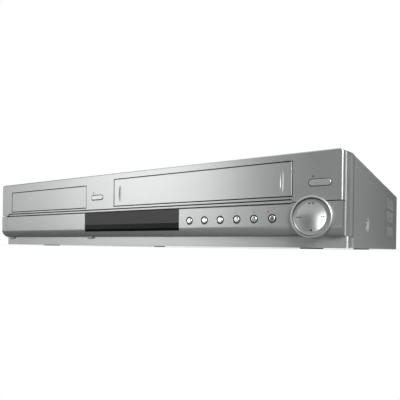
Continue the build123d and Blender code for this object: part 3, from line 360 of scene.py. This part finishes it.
def finish_piece(name, mesh, material, body, smooth=35.0):
    """Makes an object of a mesh that is already in place and lets it ride on its body."""
    piece = bpy.data.objects.new(name, mesh)
    bpy.context.scene.collection.objects.link(piece)
    mesh.materials.clear()
    mesh.materials.append(material)
    if smooth:
        mesh.shade_smooth()
        mesh.set_sharp_from_angle(angle=math.radians(smooth))
    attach(piece, body)
    return piece


def mesh_from(build, name):
    """Plain mesh from a function that fills a bmesh, with outward faces."""
    work = bmesh.new()
    build(work)
    bmesh.ops.remove_doubles(work, verts=work.verts, dist=1e-7)
    bmesh.ops.recalc_face_normals(work, faces=work.faces)
    mesh = bpy.data.meshes.new(name)
    work.to_mesh(mesh)
    work.free()
    return mesh


def prism(work, near_points, far_points):
    """Closed solid between two outlines with as many points."""
    near = [work.verts.new(point) for point in near_points]
    far = [work.verts.new(point) for point in far_points]
    work.faces.new(near)
    work.faces.new(far[::-1])
    for index in range(len(near)):
        following = (index + 1) % len(near)
        work.faces.new((near[index], far[index], far[following], near[following]))


def bar(left, bottom, right, top):
    """Outline of an upright rectangle."""
    return [(left, bottom), (right, bottom), (right, top), (left, top)]


def turned(work, profile, centre, axis, steps=48):
    """Closed turned solid from (radius, along) points that start and end on the axis."""
    to_axis = Vector((0, 0, 1)).rotation_difference(Vector(axis))
    rings = []
    for radius, along in profile:
        count = 1 if radius < 1e-9 else steps
        ring = []
        for step in range(count):
            turn = 2 * math.pi * step / steps
            point = Vector((radius * math.cos(turn), radius * math.sin(turn), along))
            ring.append(work.verts.new(Vector(centre) + to_axis @ point))
        rings.append(ring)
    for inner, outer in zip(rings, rings[1:]):
        for step in range(steps):
            following = (step + 1) % steps
            corners = [inner[step % len(inner)], inner[following % len(inner)],
                       outer[following % len(outer)], outer[step % len(outer)]]
            unique = list(dict.fromkeys(corners))
            if len(unique) > 2:
                work.faces.new(unique)


# ---- Settings ----
class PlayerFinish(bpy.types.PropertyGroup):
    """Colours a user would change."""

    front: FloatVectorProperty(name="Front", description="Silver of the moulded front", subtype="COLOR",
                               size=3, min=0, max=1, default=(0.50, 0.51, 0.51))
    cover: FloatVectorProperty(name="Cover", description="Paint of the steel cover", subtype="COLOR",
                               size=3, min=0, max=1, default=(0.36, 0.38, 0.375))
    bright: FloatVectorProperty(name="Bright trim", description="Keys and control ring", subtype="COLOR",
                                size=3, min=0, max=1, default=(0.78, 0.79, 0.79))
    window: FloatVectorProperty(name="Window", description="Smoked display window", subtype="COLOR",
                                size=3, min=0, max=1, default=(0.070, 0.070, 0.073))
    print_ink: FloatVectorProperty(name="Symbols", description="Printed symbols", subtype="COLOR",
                                   size=3, min=0, max=1, default=(0.055, 0.057, 0.057))


class PlayerStudio(bpy.types.PropertyGroup):
    """Camera and light."""

    focal: FloatProperty(name="Focal length", description="Lens of the camera on a 36 mm sensor",
                         default=36.48, unit="CAMERA")
    turn: FloatProperty(name="Turn", description="Camera direction from straight ahead",
                        default=math.radians(31.644), subtype="ANGLE")
    roll: FloatProperty(name="Roll", description="Small roll of the camera", default=math.radians(0.752),
                        subtype="ANGLE")
    rise: FloatProperty(name="Image shift", description="Upward shift of the image", default=0.1178)
    key_power: FloatProperty(name="Key power", description="Power of the large soft lamp", default=3.3,
                             unit="POWER")
    side_power: FloatProperty(name="Side power", description="Power of the lamp on the right", default=5.3,
                              unit="POWER")
    ambient: FloatProperty(name="Ambient", description="Strength of the surrounding light", default=0.36)


# ---- Repeats through Geometry Nodes ----
def repeat_tree():
    """Tree that puts a tool object on every point, turned and scaled, as one real mesh."""
    tree = bpy.data.node_groups.new("player_repeat", "GeometryNodeTree")
    face = tree.interface
    face.new_socket("Geometry", in_out="INPUT", socket_type="NodeSocketGeometry")
    sockets = {
        "tool": face.new_socket("Tool", in_out="INPUT", socket_type="NodeSocketObject").identifier,
        "turn": face.new_socket("Turn", in_out="INPUT", socket_type="NodeSocketVector").identifier,
        "size": face.new_socket("Size", in_out="INPUT", socket_type="NodeSocketFloat").identifier,
        "finish": face.new_socket("Finish", in_out="INPUT", socket_type="NodeSocketMaterial").identifier,
    }
    face.new_socket("Geometry", in_out="OUTPUT", socket_type="NodeSocketGeometry")
    entry = tree.nodes.new("NodeGroupInput")
    leave = tree.nodes.new("NodeGroupOutput")
    points = tree.nodes.new("GeometryNodeMeshToPoints")
    tool = tree.nodes.new("GeometryNodeObjectInfo")
    place = tree.nodes.new("GeometryNodeInstanceOnPoints")
    real = tree.nodes.new("GeometryNodeRealizeInstances")
    paint = tree.nodes.new("GeometryNodeSetMaterial")
    link = tree.links.new
    link(entry.outputs["Geometry"], points.inputs["Mesh"])
    link(entry.outputs["Tool"], tool.inputs["Object"])
    link(points.outputs["Points"], place.inputs["Points"])
    link(tool.outputs["Geometry"], place.inputs["Instance"])
    link(entry.outputs["Turn"], place.inputs["Rotation"])
    link(entry.outputs["Size"], place.inputs["Scale"])
    link(place.outputs["Instances"], real.inputs["Geometry"])
    link(real.outputs["Geometry"], paint.inputs["Geometry"])
    link(entry.outputs["Finish"], paint.inputs["Material"])
    link(paint.outputs["Geometry"], leave.inputs["Geometry"])
    return tree, sockets


def repeat(name, places, tool_mesh, material, body, slot, turn=(0, 0, 0), size=1.0):
    """One piece with the tool at every place."""
    if "player_repeat" not in bpy.data.node_groups:
        repeat.tree, repeat.sockets = repeat_tree()
    points = bpy.data.meshes.new(name + "_points")
    points.from_pydata([tuple(place) for place in places], [], [])
    holder = bpy.data.objects.new(name + "_holder", points)
    tool = bpy.data.objects.new(name + "_tool", tool_mesh)
    bpy.context.scene.collection.objects.link(holder)
    bpy.context.scene.collection.objects.link(tool)
    modifier = holder.modifiers.new("repeat", "NODES")
    modifier.node_group = repeat.tree
    values = {"tool": tool, "turn": turn, "size": size, "finish": material}
    for key, value in values.items():
        modifier[repeat.sockets[key]] = value
    graph = bpy.context.evaluated_depsgraph_get()
    mesh = bpy.data.meshes.new_from_object(holder.evaluated_get(graph), depsgraph=graph)
    mesh.name = name
    bpy.data.objects.remove(holder)
    bpy.data.objects.remove(tool)
    return finish_piece(name, mesh, material, body)


def screw_mesh(radius, thickness):
    """Pan head with a cross recess, its seat at the origin and its head towards +Z."""
    def build(work):
        arm, cross = radius * 0.14, radius * 0.62
        floor = thickness * 0.45
        turned(work, [(0, 0), (radius, 0), (radius, thickness * 0.45), (radius * 0.88, thickness * 0.85),
                      (radius * 0.7, thickness), (0, thickness)], (0, 0, 0), (0, 0, 1), 32)
        bmesh.ops.delete(work, geom=[f for f in work.faces if f.calc_center_median().z > thickness * 0.99],
                         context="FACES")
        corners = []
        for quarter in range(4):
            turn = Matrix.Rotation(quarter * math.pi / 2, 3, "Z")
            for x, y in ((arm, arm), (arm, cross), (-arm, cross)):
                corners.append(turn @ Vector((x, y, 0)))
        top = [work.verts.new((c.x, c.y, thickness)) for c in corners]
        base = [work.verts.new((c.x * 0.8, c.y * 0.8, floor)) for c in corners]
        for index in range(12):
            following = (index + 1) % 12
            work.faces.new((top[index], top[following], base[following], base[index]))
        work.faces.new(base)
        bmesh.ops.remove_doubles(work, verts=work.verts, dist=1e-7)
        loose = [edge for edge in work.edges if edge.is_boundary]
        bmesh.ops.triangle_fill(work, edges=loose, use_beauty=True)
    return mesh_from(build, "screw_tool")


def collar_mesh(inner, outer, length):
    """Open collar along +Y, such as the coloured ring of a phono socket."""
    def build(work):
        steps = 36
        rings = []
        for radius, along in ((inner, 0), (outer, 0), (outer, length * 0.8), (outer - 0.0003, length),
                              (inner + 0.0002, length), (inner, length * 0.9)):
            rings.append([work.verts.new((radius * math.cos(2 * math.pi * s / steps), along,
                                          radius * math.sin(2 * math.pi * s / steps))) for s in range(steps)])
        for index, ring in enumerate(rings):
            after = rings[(index + 1) % len(rings)]
            for step in range(steps):
                following = (step + 1) % steps
                work.faces.new((ring[step], ring[following], after[following], after[step]))
    return mesh_from(build, "collar_tool")


# ---- Operators ----
class PLAYER_OT_case(bpy.types.Operator):
    """Finishes the case and its feet, and makes the vent liners and the cross-head screws"""

    bl_idname = "player.case"
    bl_label = "Case"

    def execute(self, context):
        finish = context.scene.player_finish
        dress(["top_cover"], powder_coat("cover_paint", finish.cover))
        # Painted light: the plinth's silver is lightened by 16 per cent against the shade cast by the chin
        # above it.
        dress(["plinth"], silver_paint("plinth_silver_painted_light", rgba(finish.front, 1.16), 0.72, 0.33))
        zinc = sheet_metal("zinc_sheet", (0.60, 0.61, 0.60))
        dress(["base_pan", "rear_panel"], zinc)
        dress(["feet"], rubber("foot_rubber", (0.52, 0.52, 0.51)))
        self.vent_liners()
        screw_metal = sheet_metal("screw_metal", (0.55, 0.56, 0.56), 0.28, (1, 1, 1))
        screws = low("case_screws"), high("case_screws")
        head = screw_mesh(SCREW_RADIUS, SCREW_THICKNESS)
        side_y = FACE_Y + SIDE_SCREW_DEPTH
        side_z = BASE_Z + SIDE_SCREW_RISE
        left = repeat("left_side_screw", [(screws[0].x + SIDE_SCREW_INSET, side_y, side_z)], head,
                      screw_metal, "case", "steel", (0, -math.pi / 2, 0))
        right = repeat("right_side_screw", [(screws[1].x - SIDE_SCREW_INSET, side_y, side_z)], head,
                       screw_metal, "case", "steel", (0, math.pi / 2, 0))
        rear_y = high("rear_panel").y
        rear_places = [(side * REAR_SCREW_REACH, rear_y, BASE_Z + REAR_SCREW_RISE) for side in (-1, 0, 1)]
        rear = repeat("rear_screws", rear_places, head, screw_metal, "case", "steel",
                      (-math.pi / 2, 0, 0))
        for piece in (left, right, rear):
            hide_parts("case_screws")
        return {"FINISHED"}

    def vent_liners(self):
        """Pale insulating sheets close behind the side vents."""
        card = moulded("insulating_card", (0.62, 0.63, 0.62), 0.7, 500)
        cover_low, cover_high = low("top_cover"), high("top_cover")
        front_end, rear_end = [cover_high.y - distance for distance in LINER_FROM_REAR]
        bottom, top = [BASE_Z + rise for rise in LINER_RISE]
        outline = bar(front_end, bottom, rear_end, top)
        sides = {"left_vent_liner": cover_low.x + LINER_INSET,
                 "right_vent_liner": cover_high.x - LINER_INSET - LINER_THICKNESS}
        for name, inner in sides.items():
            def build(work):
                prism(work, [(inner, y, z) for y, z in outline],
                      [(inner + LINER_THICKNESS, y, z) for y, z in outline])
            finish_piece(name, mesh_from(build, name), card, "case", 0)


class PLAYER_OT_front(bpy.types.Operator):
    """Finishes the fascias, frame, doors, flap, rib and smoked window"""

    bl_idname = "player.front"
    bl_label = "Front"

    def execute(self, context):
        finish = context.scene.player_finish
        # Each front material paints near-black shade into the gaps deeper than its given depth.
        front = silver_with_gap_shade("front_silver", finish.front, 0.15 * MM)
        dress(["upper_fascia", "lower_fascia", "av_flap"], front)
        dress(["tray_door"], silver_with_gap_shade("tray_silver", finish.front, 0.25 * MM))
        dress(["front_frame", "trim_rib"], silver_paint("frame_silver", finish.front, 0.72, 0.33))
        dress(["cassette_door"], silver_with_gap_shade("door_silver", rgba(finish.front, 1.03), 0.65 * MM))
        # The window's lowest band gets painted shade.
        shaded_below_z = low("display_window").z + WINDOW_SHADE_RISE
        dress(["display_window"], smoked_window("window_smoke", finish.window, shaded_below_z))
        return {"FINISHED"}


class PLAYER_OT_controls(bpy.types.Operator):
    """Finishes the control ring, pad and keys, and prints their generic symbols"""

    bl_idname = "player.controls"
    bl_label = "Controls"

    def execute(self, context):
        finish = context.scene.player_finish
        bright = silver_paint("bright_trim", finish.bright, 0.95, 0.16)
        keys = [f"function_button_{index}" for index in range(1, 7)]
        dress(keys, bright)
        dress(["dial_ring"], silver_paint("ring_silver", rgba(finish.front, 1.05), 0.72, 0.36))
        dress(["dial_pad"], silver_paint("pad_silver", rgba(finish.bright, 1.1), 0.92, 0.29))
        dress(["disc_eject_button", "tape_eject_button"],
              silver_paint("eject_silver", rgba(finish.bright, 0.76), 0.8, 0.36))
        dress(["pad_carrier"], moulded("carrier_plastic", (0.12, 0.12, 0.125)))
        ink = moulded("symbol_ink", finish.print_ink, 0.45)
        self.symbols(ink)
        return {"FINISHED"}

    def symbols(self, ink):
        """Eject marks, minus, plus and the record dot by the keys, and transport marks on the pad."""
        eject = [[(-1.0, -0.15), (1.0, -0.15), (0, 1.05)], bar(-1.0, -0.75, 1.0, -0.4)]
        for side in ("disc", "tape"):
            centre = middle(f"{side}_eject_button")
            mark = Vector((centre.x - EJECT_MARK_LEFT, 0, centre.z + EJECT_MARK_RISE))
            self.printed(f"{side}_eject_mark", mark, eject, ink)
        fourth, fifth, sixth = [middle(f"function_button_{number}") for number in (4, 5, 6)]
        lift = Vector((0, 0, KEY_MARK_RISE))
        dash = bar(-0.9, -0.14, 0.9, 0.14)
        self.printed("minus_mark", fourth + lift, [dash], ink)
        self.printed("plus_mark", fifth + lift, [dash, [(up, x) for x, up in dash[::-1]]], ink)
        turns = [2 * math.pi * step / RECORD_MARK_POINTS for step in range(RECORD_MARK_POINTS)]
        dot = [(RECORD_MARK_RADIUS * math.cos(turn), RECORD_MARK_RADIUS * math.sin(turn)) for turn in turns]
        red = moulded("record_red", (0.62, 0.05, 0.04), 0.45)
        self.printed("record_mark", sixth + lift - Vector((RECORD_MARK_LEFT, 0, 0)), [dot], red)
        self.pad_marks(ink)

    def pad_marks(self, ink):
        """Play and pause above, stop below and the skip marks at the sides, laid on the dished pad."""
        play_pause = [[(-2.2, 9.6), (-2.2, 11.4), (-0.4, 10.5)], bar(0.4, 9.6, 0.95, 11.4),
                      bar(1.5, 9.6, 2.05, 11.4)]
        stop = [bar(-0.8, -11.1, 0.8, -9.5)]
        skip_back = [bar(-11.5, -0.6, -11.2, 0.6), [(-11.1, 0), (-9.7, 0.6), (-9.7, -0.6)],
                     [(-9.6, 0), (-8.2, 0.6), (-8.2, -0.6)]]
        mirror_shift = 0.9
        skip_on = [[(-x - mirror_shift, up) for x, up in shape] for shape in skip_back]
        pad = middle("dial_pad")
        rim_y = FACE_Y + PAD_RIM_DEPTH

        def build(work):
            for shape in play_pause + stop + skip_back + skip_on:
                ring = []
                for x, up in shape:
                    reach = math.hypot(x, up) * MM
                    sag = PAD_DISH_RADIUS - math.sqrt(PAD_DISH_RADIUS * PAD_DISH_RADIUS - reach * reach)
                    ring.append((pad.x + x * MM, rim_y - sag, pad.z + up * MM))
                prism(work, [(x, y - PRINT_PROUD, z) for x, y, z in ring],
                      [(x, y + PAD_MARK_SUNK, z) for x, y, z in ring])
        finish_piece("pad_marks", mesh_from(build, "pad_marks"), ink, "dial_pad", 0)

    def printed(self, name, centre, shapes, ink):
        """Flat marks printed on the front face, from outlines in millimetres round a point."""
        outlines = [[(centre.x + x * MM, centre.z + up * MM) for x, up in shape] for shape in shapes]
        near_y = FACE_Y - PRINT_PROUD

        def build(work):
            for outline in outlines:
                prism(work, [(x, near_y, z) for x, z in outline],
                      [(x, near_y + PRINT_THICKNESS, z) for x, z in outline])
        finish_piece(name, mesh_from(build, name), ink, "case", 0)


class PLAYER_OT_disc_unit(bpy.types.Operator):
    """Finishes the tray, loader, traverse, sled, turntable and clamp"""

    bl_idname = "player.disc_unit"
    bl_label = "Disc unit"

    def execute(self, context):
        dress(["disc_tray", "turntable", "pickup_sled"], moulded("tray_plastic", (0.035, 0.035, 0.037), 0.42))
        dress(["loader_frame"], moulded("loader_plastic", (0.09, 0.09, 0.095), 0.5))
        dress(["tray_gear", "motor_pulley", "clamp_puck"], moulded("gear_plastic", (0.62, 0.61, 0.57), 0.4))
        dress(["tray_belt"], rubber("belt_rubber", (0.02, 0.02, 0.02)))
        steel = sheet_metal("mechanism_steel", (0.62, 0.62, 0.61), 0.3, (30, 1, 1))
        dress(["traverse_plate", "clamp_bridge", "loading_motor"], steel)
        dress(["sled_screw"], sheet_metal("screw_steel", (0.58, 0.58, 0.58), 0.22, (1, 60, 1)))
        return {"FINISHED"}


class PLAYER_OT_tape_deck(bpy.types.Operator):
    """Finishes the deck, drum, capstan, reels, guides and cassette carriage"""

    bl_idname = "player.tape_deck"
    bl_label = "Tape deck"

    def execute(self, context):
        dress(["deck_plate", "cassette_brackets"],
              sheet_metal("deck_zinc", (0.56, 0.57, 0.57), 0.34, (1, 30, 1)))
        dress(["cassette_carriage", "cassette_holder", "pinch_arm"],
              sheet_metal("holder_steel", (0.66, 0.66, 0.65), 0.28, (25, 1, 1)))
        drum = turned_metal("drum_aluminium", (0.74, 0.75, 0.76), middle("upper_drum"))
        dress(["upper_drum", "lower_drum"], drum)
        dress(["capstan"], turned_metal("capstan_steel", (0.6, 0.6, 0.6), middle("capstan")))
        dress(["supply_guide", "take_up_guide"],
              sheet_metal("guide_steel", (0.68, 0.68, 0.68), 0.2, (1, 1, 30)))
        dress(["pinch_roller"], rubber("roller_rubber", (0.03, 0.028, 0.028)))
        dress(["supply_reel", "take_up_reel"], moulded("reel_plastic", (0.58, 0.58, 0.56), 0.42))
        return {"FINISHED"}


class PLAYER_OT_boards(bpy.types.Operator):
    """Finishes the boards, display tube, transformer and tuner"""

    bl_idname = "player.boards"
    bl_label = "Boards"

    def execute(self, context):
        dress(["main_board"], circuit_board("green_board", (0.05, 0.20, 0.09), (0.12, 0.34, 0.16)))
        dress(["power_board", "key_board"],
              circuit_board("brown_board", (0.36, 0.24, 0.11), (0.45, 0.32, 0.16)))
        dress(["transformer"], sheet_metal("core_lacquer", (0.42, 0.30, 0.12), 0.4, (1, 1, 60), 0.6))
        dress(["tuner_module"], sheet_metal("tuner_can", (0.66, 0.67, 0.67), 0.26, (30, 1, 1)))
        dress(["display_module"], smoked_window("tube_glass", (0.07, 0.11, 0.10), low("display_module").z))
        return {"FINISHED"}


class PLAYER_OT_sockets(bpy.types.Operator):
    """Finishes the sockets and makes the phono sockets' coloured collars"""

    bl_idname = "player.sockets"
    bl_label = "Sockets"

    def execute(self, context):
        black = moulded("socket_plastic", (0.03, 0.03, 0.03), 0.4)
        dress(["phono_sockets", "power_inlet", "front_av_sockets"], black)
        dress(["aerial_sockets"], sheet_metal("nickel_barrel", (0.72, 0.70, 0.64), 0.18, (1, 200, 1)))
        colours = {"yellow": (0.85, 0.65, 0.04), "white": (0.82, 0.82, 0.80), "red": (0.62, 0.03, 0.03)}
        order = ("yellow", "white", "red")
        finishes = {key: moulded(f"socket_{key}", value, 0.35, 1600, 0.2) for key, value in colours.items()}
        collar = collar_mesh(COLLAR_BORE, COLLAR_RADIUS, COLLAR_LENGTH)
        panel_y = high("rear_panel").y
        sockets = middle("phono_sockets")
        middle_column = (SOCKET_COLUMNS - 1) / 2
        for start, colour in enumerate(order):
            places = [(sockets.x + (column - middle_column) * SOCKET_PITCH, panel_y,
                       sockets.z + row * SOCKET_PITCH / 2)
                      for column in range(start, SOCKET_COLUMNS, len(order)) for row in (-1, 1)]
            repeat(f"rear_{colour}_collars", places, collar, finishes[colour], "case", "black_plastic")
        front = middle("front_av_sockets")
        wall_y = FACE_Y + FRONT_SOCKET_DEPTH
        for start, colour in enumerate(order):
            place = (front.x + (start - 1) * FRONT_SOCKET_PITCH, wall_y, front.z)
            repeat(f"front_{colour}_collar", [place], collar, finishes[colour], "case", "black_plastic",
                   (0, 0, math.pi))
        return {"FINISHED"}


class PLAYER_OT_studio(bpy.types.Operator):
    """Sets the camera, lamps, floor and white surroundings"""

    bl_idname = "player.studio"
    bl_label = "Studio"

    def execute(self, context):
        studio = context.scene.player_studio
        scene = context.scene
        scene.view_settings.view_transform = "Standard"
        self.camera(scene, studio)
        self.world(scene, studio)
        self.floor()
        self.lamp("key_lamp", place=(-1.10, -1.56, 0.46), aim=(-0.05, -0.16, 0.04), size=0.85,
                  power=studio.key_power)
        self.lamp("side_lamp", place=(0.64, -0.60, 0.36), aim=(0.215, -0.05, 0.04), size=0.3,
                  power=studio.side_power)
        self.card("front_flag", place=(0.12, -1.5, 0.6), aim=(0.1, -0.16, 0.03), size=1.45, glow=0.0)
        self.card("left_flag", place=(-1.5, 0.0, 0.5), aim=(-0.2, -0.16, 0.03), size=1.7, glow=0.0)
        self.card("rear_flag", place=(0.75, 1.3, 0.6), aim=(0.2, 0.1, 0.03), size=1.5, glow=0.0)
        self.card("right_card", place=(1.1, -0.5, 0.25), aim=(0.21, -0.16, 0.04), size=0.55, glow=3.0)
        return {"FINISHED"}

    def camera(self, scene, studio):
        """Camera just above the floor, with the shift and roll of the photographed view."""
        data = bpy.data.cameras.new("camera")
        data.lens = studio.focal
        data.sensor_width = 36
        data.shift_y = studio.rise
        data.clip_start = 0.1
        camera = bpy.data.objects.new("camera", data)
        place = Matrix.Translation((CAMERA_RIGHT, FACE_Y - CAMERA_BEFORE_FACE, CAMERA_HEIGHT))
        turn = Matrix.Rotation(studio.turn, 4, "Z") @ Matrix.Rotation(math.pi / 2, 4, "X")
        camera.matrix_world = place @ turn @ Matrix.Rotation(studio.roll, 4, "Z")
        scene.collection.objects.link(camera)
        scene.camera = camera

    def world(self, scene, studio):
        """White to the camera, in reflections and through glass, and dimmer as light."""
        world = bpy.data.worlds.new("surroundings")
        world.use_nodes = True
        scene.world = world
        tree = world.node_tree
        background = tree.nodes["Background"]
        rays = tree.nodes.new("ShaderNodeLightPath")
        seen = tree.nodes.new("ShaderNodeMath")
        seen.operation = "MAXIMUM"
        mirrored = tree.nodes.new("ShaderNodeMath")
        mirrored.operation = "MAXIMUM"
        strength = tree.nodes.new("ShaderNodeMix")
        strength.inputs["A"].default_value = studio.ambient
        strength.inputs["B"].default_value = 1.0
        tree.links.new(rays.outputs["Is Camera Ray"], seen.inputs[0])
        tree.links.new(rays.outputs["Is Transmission Ray"], mirrored.inputs[0])
        tree.links.new(rays.outputs["Is Glossy Ray"], mirrored.inputs[1])
        tree.links.new(mirrored.outputs[0], seen.inputs[1])
        tree.links.new(seen.outputs[0], strength.inputs["Factor"])
        tree.links.new(strength.outputs["Result"], background.inputs["Strength"])
        background.inputs["Color"].default_value = (1, 1, 1, 1)

    def floor(self):
        """Pale floor that keeps the shadow near the player and fades to white further off."""
        shade = Shade("floor")
        rays = shade.node("ShaderNodeLightPath")
        camera_ray = Signal(shade, rays.outputs["Is Camera Ray"])
        mirror_ray = Signal(shade, rays.outputs["Is Glossy Ray"])
        glass_ray = Signal(shade, rays.outputs["Is Transmission Ray"])
        seen = camera_ray.larger(mirror_ray * FLOOR_MIRROR_SHARE).larger(glass_ray)
        base = shade.blend(seen, (0.10, 0.10, 0.10, 1), (0.92, 0.92, 0.92, 1))
        shade.set(Base_Color=base, Roughness=0.9)
        x, y = shade.place()[:2]
        off_side = (x.size() - FLOOR_CLEAR_X).larger(0.0)
        off_front = (y.size() - FLOOR_CLEAR_Y).larger(0.0)
        fade = ((off_side + off_front) * FLOOR_FADE_RATE).smaller(1.0)
        white = shade.node("ShaderNodeEmission", None, {"Color": (1, 1, 1, 1), "Strength": 1.0})
        mix = shade.node("ShaderNodeMixShader", None, {0: fade * camera_ray, 1: shade.bsdf.outputs[0],
                                                       2: white.outputs[0]})
        shade.tree.links.new(mix.outputs[0], shade.tree.nodes["Material Output"].inputs["Surface"])
        mesh = self.square("floor", FLOOR_HALF)
        mesh.materials.append(shade.material)
        floor = bpy.data.objects.new("floor", mesh)
        bpy.context.scene.collection.objects.link(floor)

    def square(self, name, half):
        """Flat square mesh round the origin."""
        mesh = bpy.data.meshes.new(name)
        corners = [(x, y, 0) for x, y in bar(-half, -half, half, half)]
        mesh.from_pydata(corners, [], [(0, 1, 2, 3)])
        return mesh

    def aimed(self, place, aim):
        """Matrix that stands at a place and looks at a point."""
        turn = (Vector(aim) - Vector(place)).to_track_quat("-Z", "Y").to_matrix().to_4x4()
        return Matrix.Translation(place) @ turn

    def card(self, name, place, aim, size, glow):
        """Card for reflections, hidden from the camera and from diffuse light: black or glowing."""
        mesh = self.square(name, size / 2)
        paper = Shade(name).set(Base_Color=(0.01, 0.01, 0.01, 1), Roughness=1.0, Emission_Strength=glow,
                                Emission_Color=(1, 1, 1, 1))
        mesh.materials.append(paper)
        card = bpy.data.objects.new(name, mesh)
        card.matrix_world = self.aimed(place, aim)
        card.visible_camera = False
        card.visible_diffuse = False
        card.visible_shadow = False
        bpy.context.scene.collection.objects.link(card)

    def lamp(self, name, place, aim, size, power):
        """Square area lamp aimed at a point."""
        data = bpy.data.lights.new(name, "AREA")
        data.size = size
        data.energy = power
        lamp = bpy.data.objects.new(name, data)
        lamp.matrix_world = self.aimed(place, aim)
        bpy.context.scene.collection.objects.link(lamp)


class PLAYER_PT_panel(bpy.types.Panel):
    """Panel that lists the player's parts"""

    bl_idname = "PLAYER_PT_panel"
    bl_label = "Player"
    bl_space_type = "VIEW_3D"
    bl_region_type = "UI"
    bl_category = "Player"

    def draw(self, context):
        layout = self.layout
        for operator in OPERATORS:
            layout.operator(operator.bl_idname)
        for group in (context.scene.player_finish, context.scene.player_studio):
            for name in group.bl_rna.properties.keys():
                if name not in ("rna_type", "name"):
                    layout.prop(group, name)


OPERATORS = (PLAYER_OT_case, PLAYER_OT_front, PLAYER_OT_controls, PLAYER_OT_disc_unit, PLAYER_OT_tape_deck,
             PLAYER_OT_boards, PLAYER_OT_sockets, PLAYER_OT_studio)
CLASSES = (PlayerFinish, PlayerStudio) + OPERATORS + (PLAYER_PT_panel,)


def register():
    """Registers the classes and the settings."""
    for item in CLASSES:
        bpy.utils.register_class(item)
    bpy.types.Scene.player_finish = PointerProperty(type=PlayerFinish)
    bpy.types.Scene.player_studio = PointerProperty(type=PlayerStudio)


def unregister():
    """Removes the settings and the classes."""
    del bpy.types.Scene.player_studio
    del bpy.types.Scene.player_finish
    for item in reversed(CLASSES):
        bpy.utils.unregister_class(item)


def main():
    """Builds the looks."""
    register()
    bpy.ops.player.case()
    bpy.ops.player.front()
    bpy.ops.player.controls()
    bpy.ops.player.disc_unit()
    bpy.ops.player.tape_deck()
    bpy.ops.player.boards()
    bpy.ops.player.sockets()
    bpy.ops.player.studio()


if __name__ == "__main__":
    main()
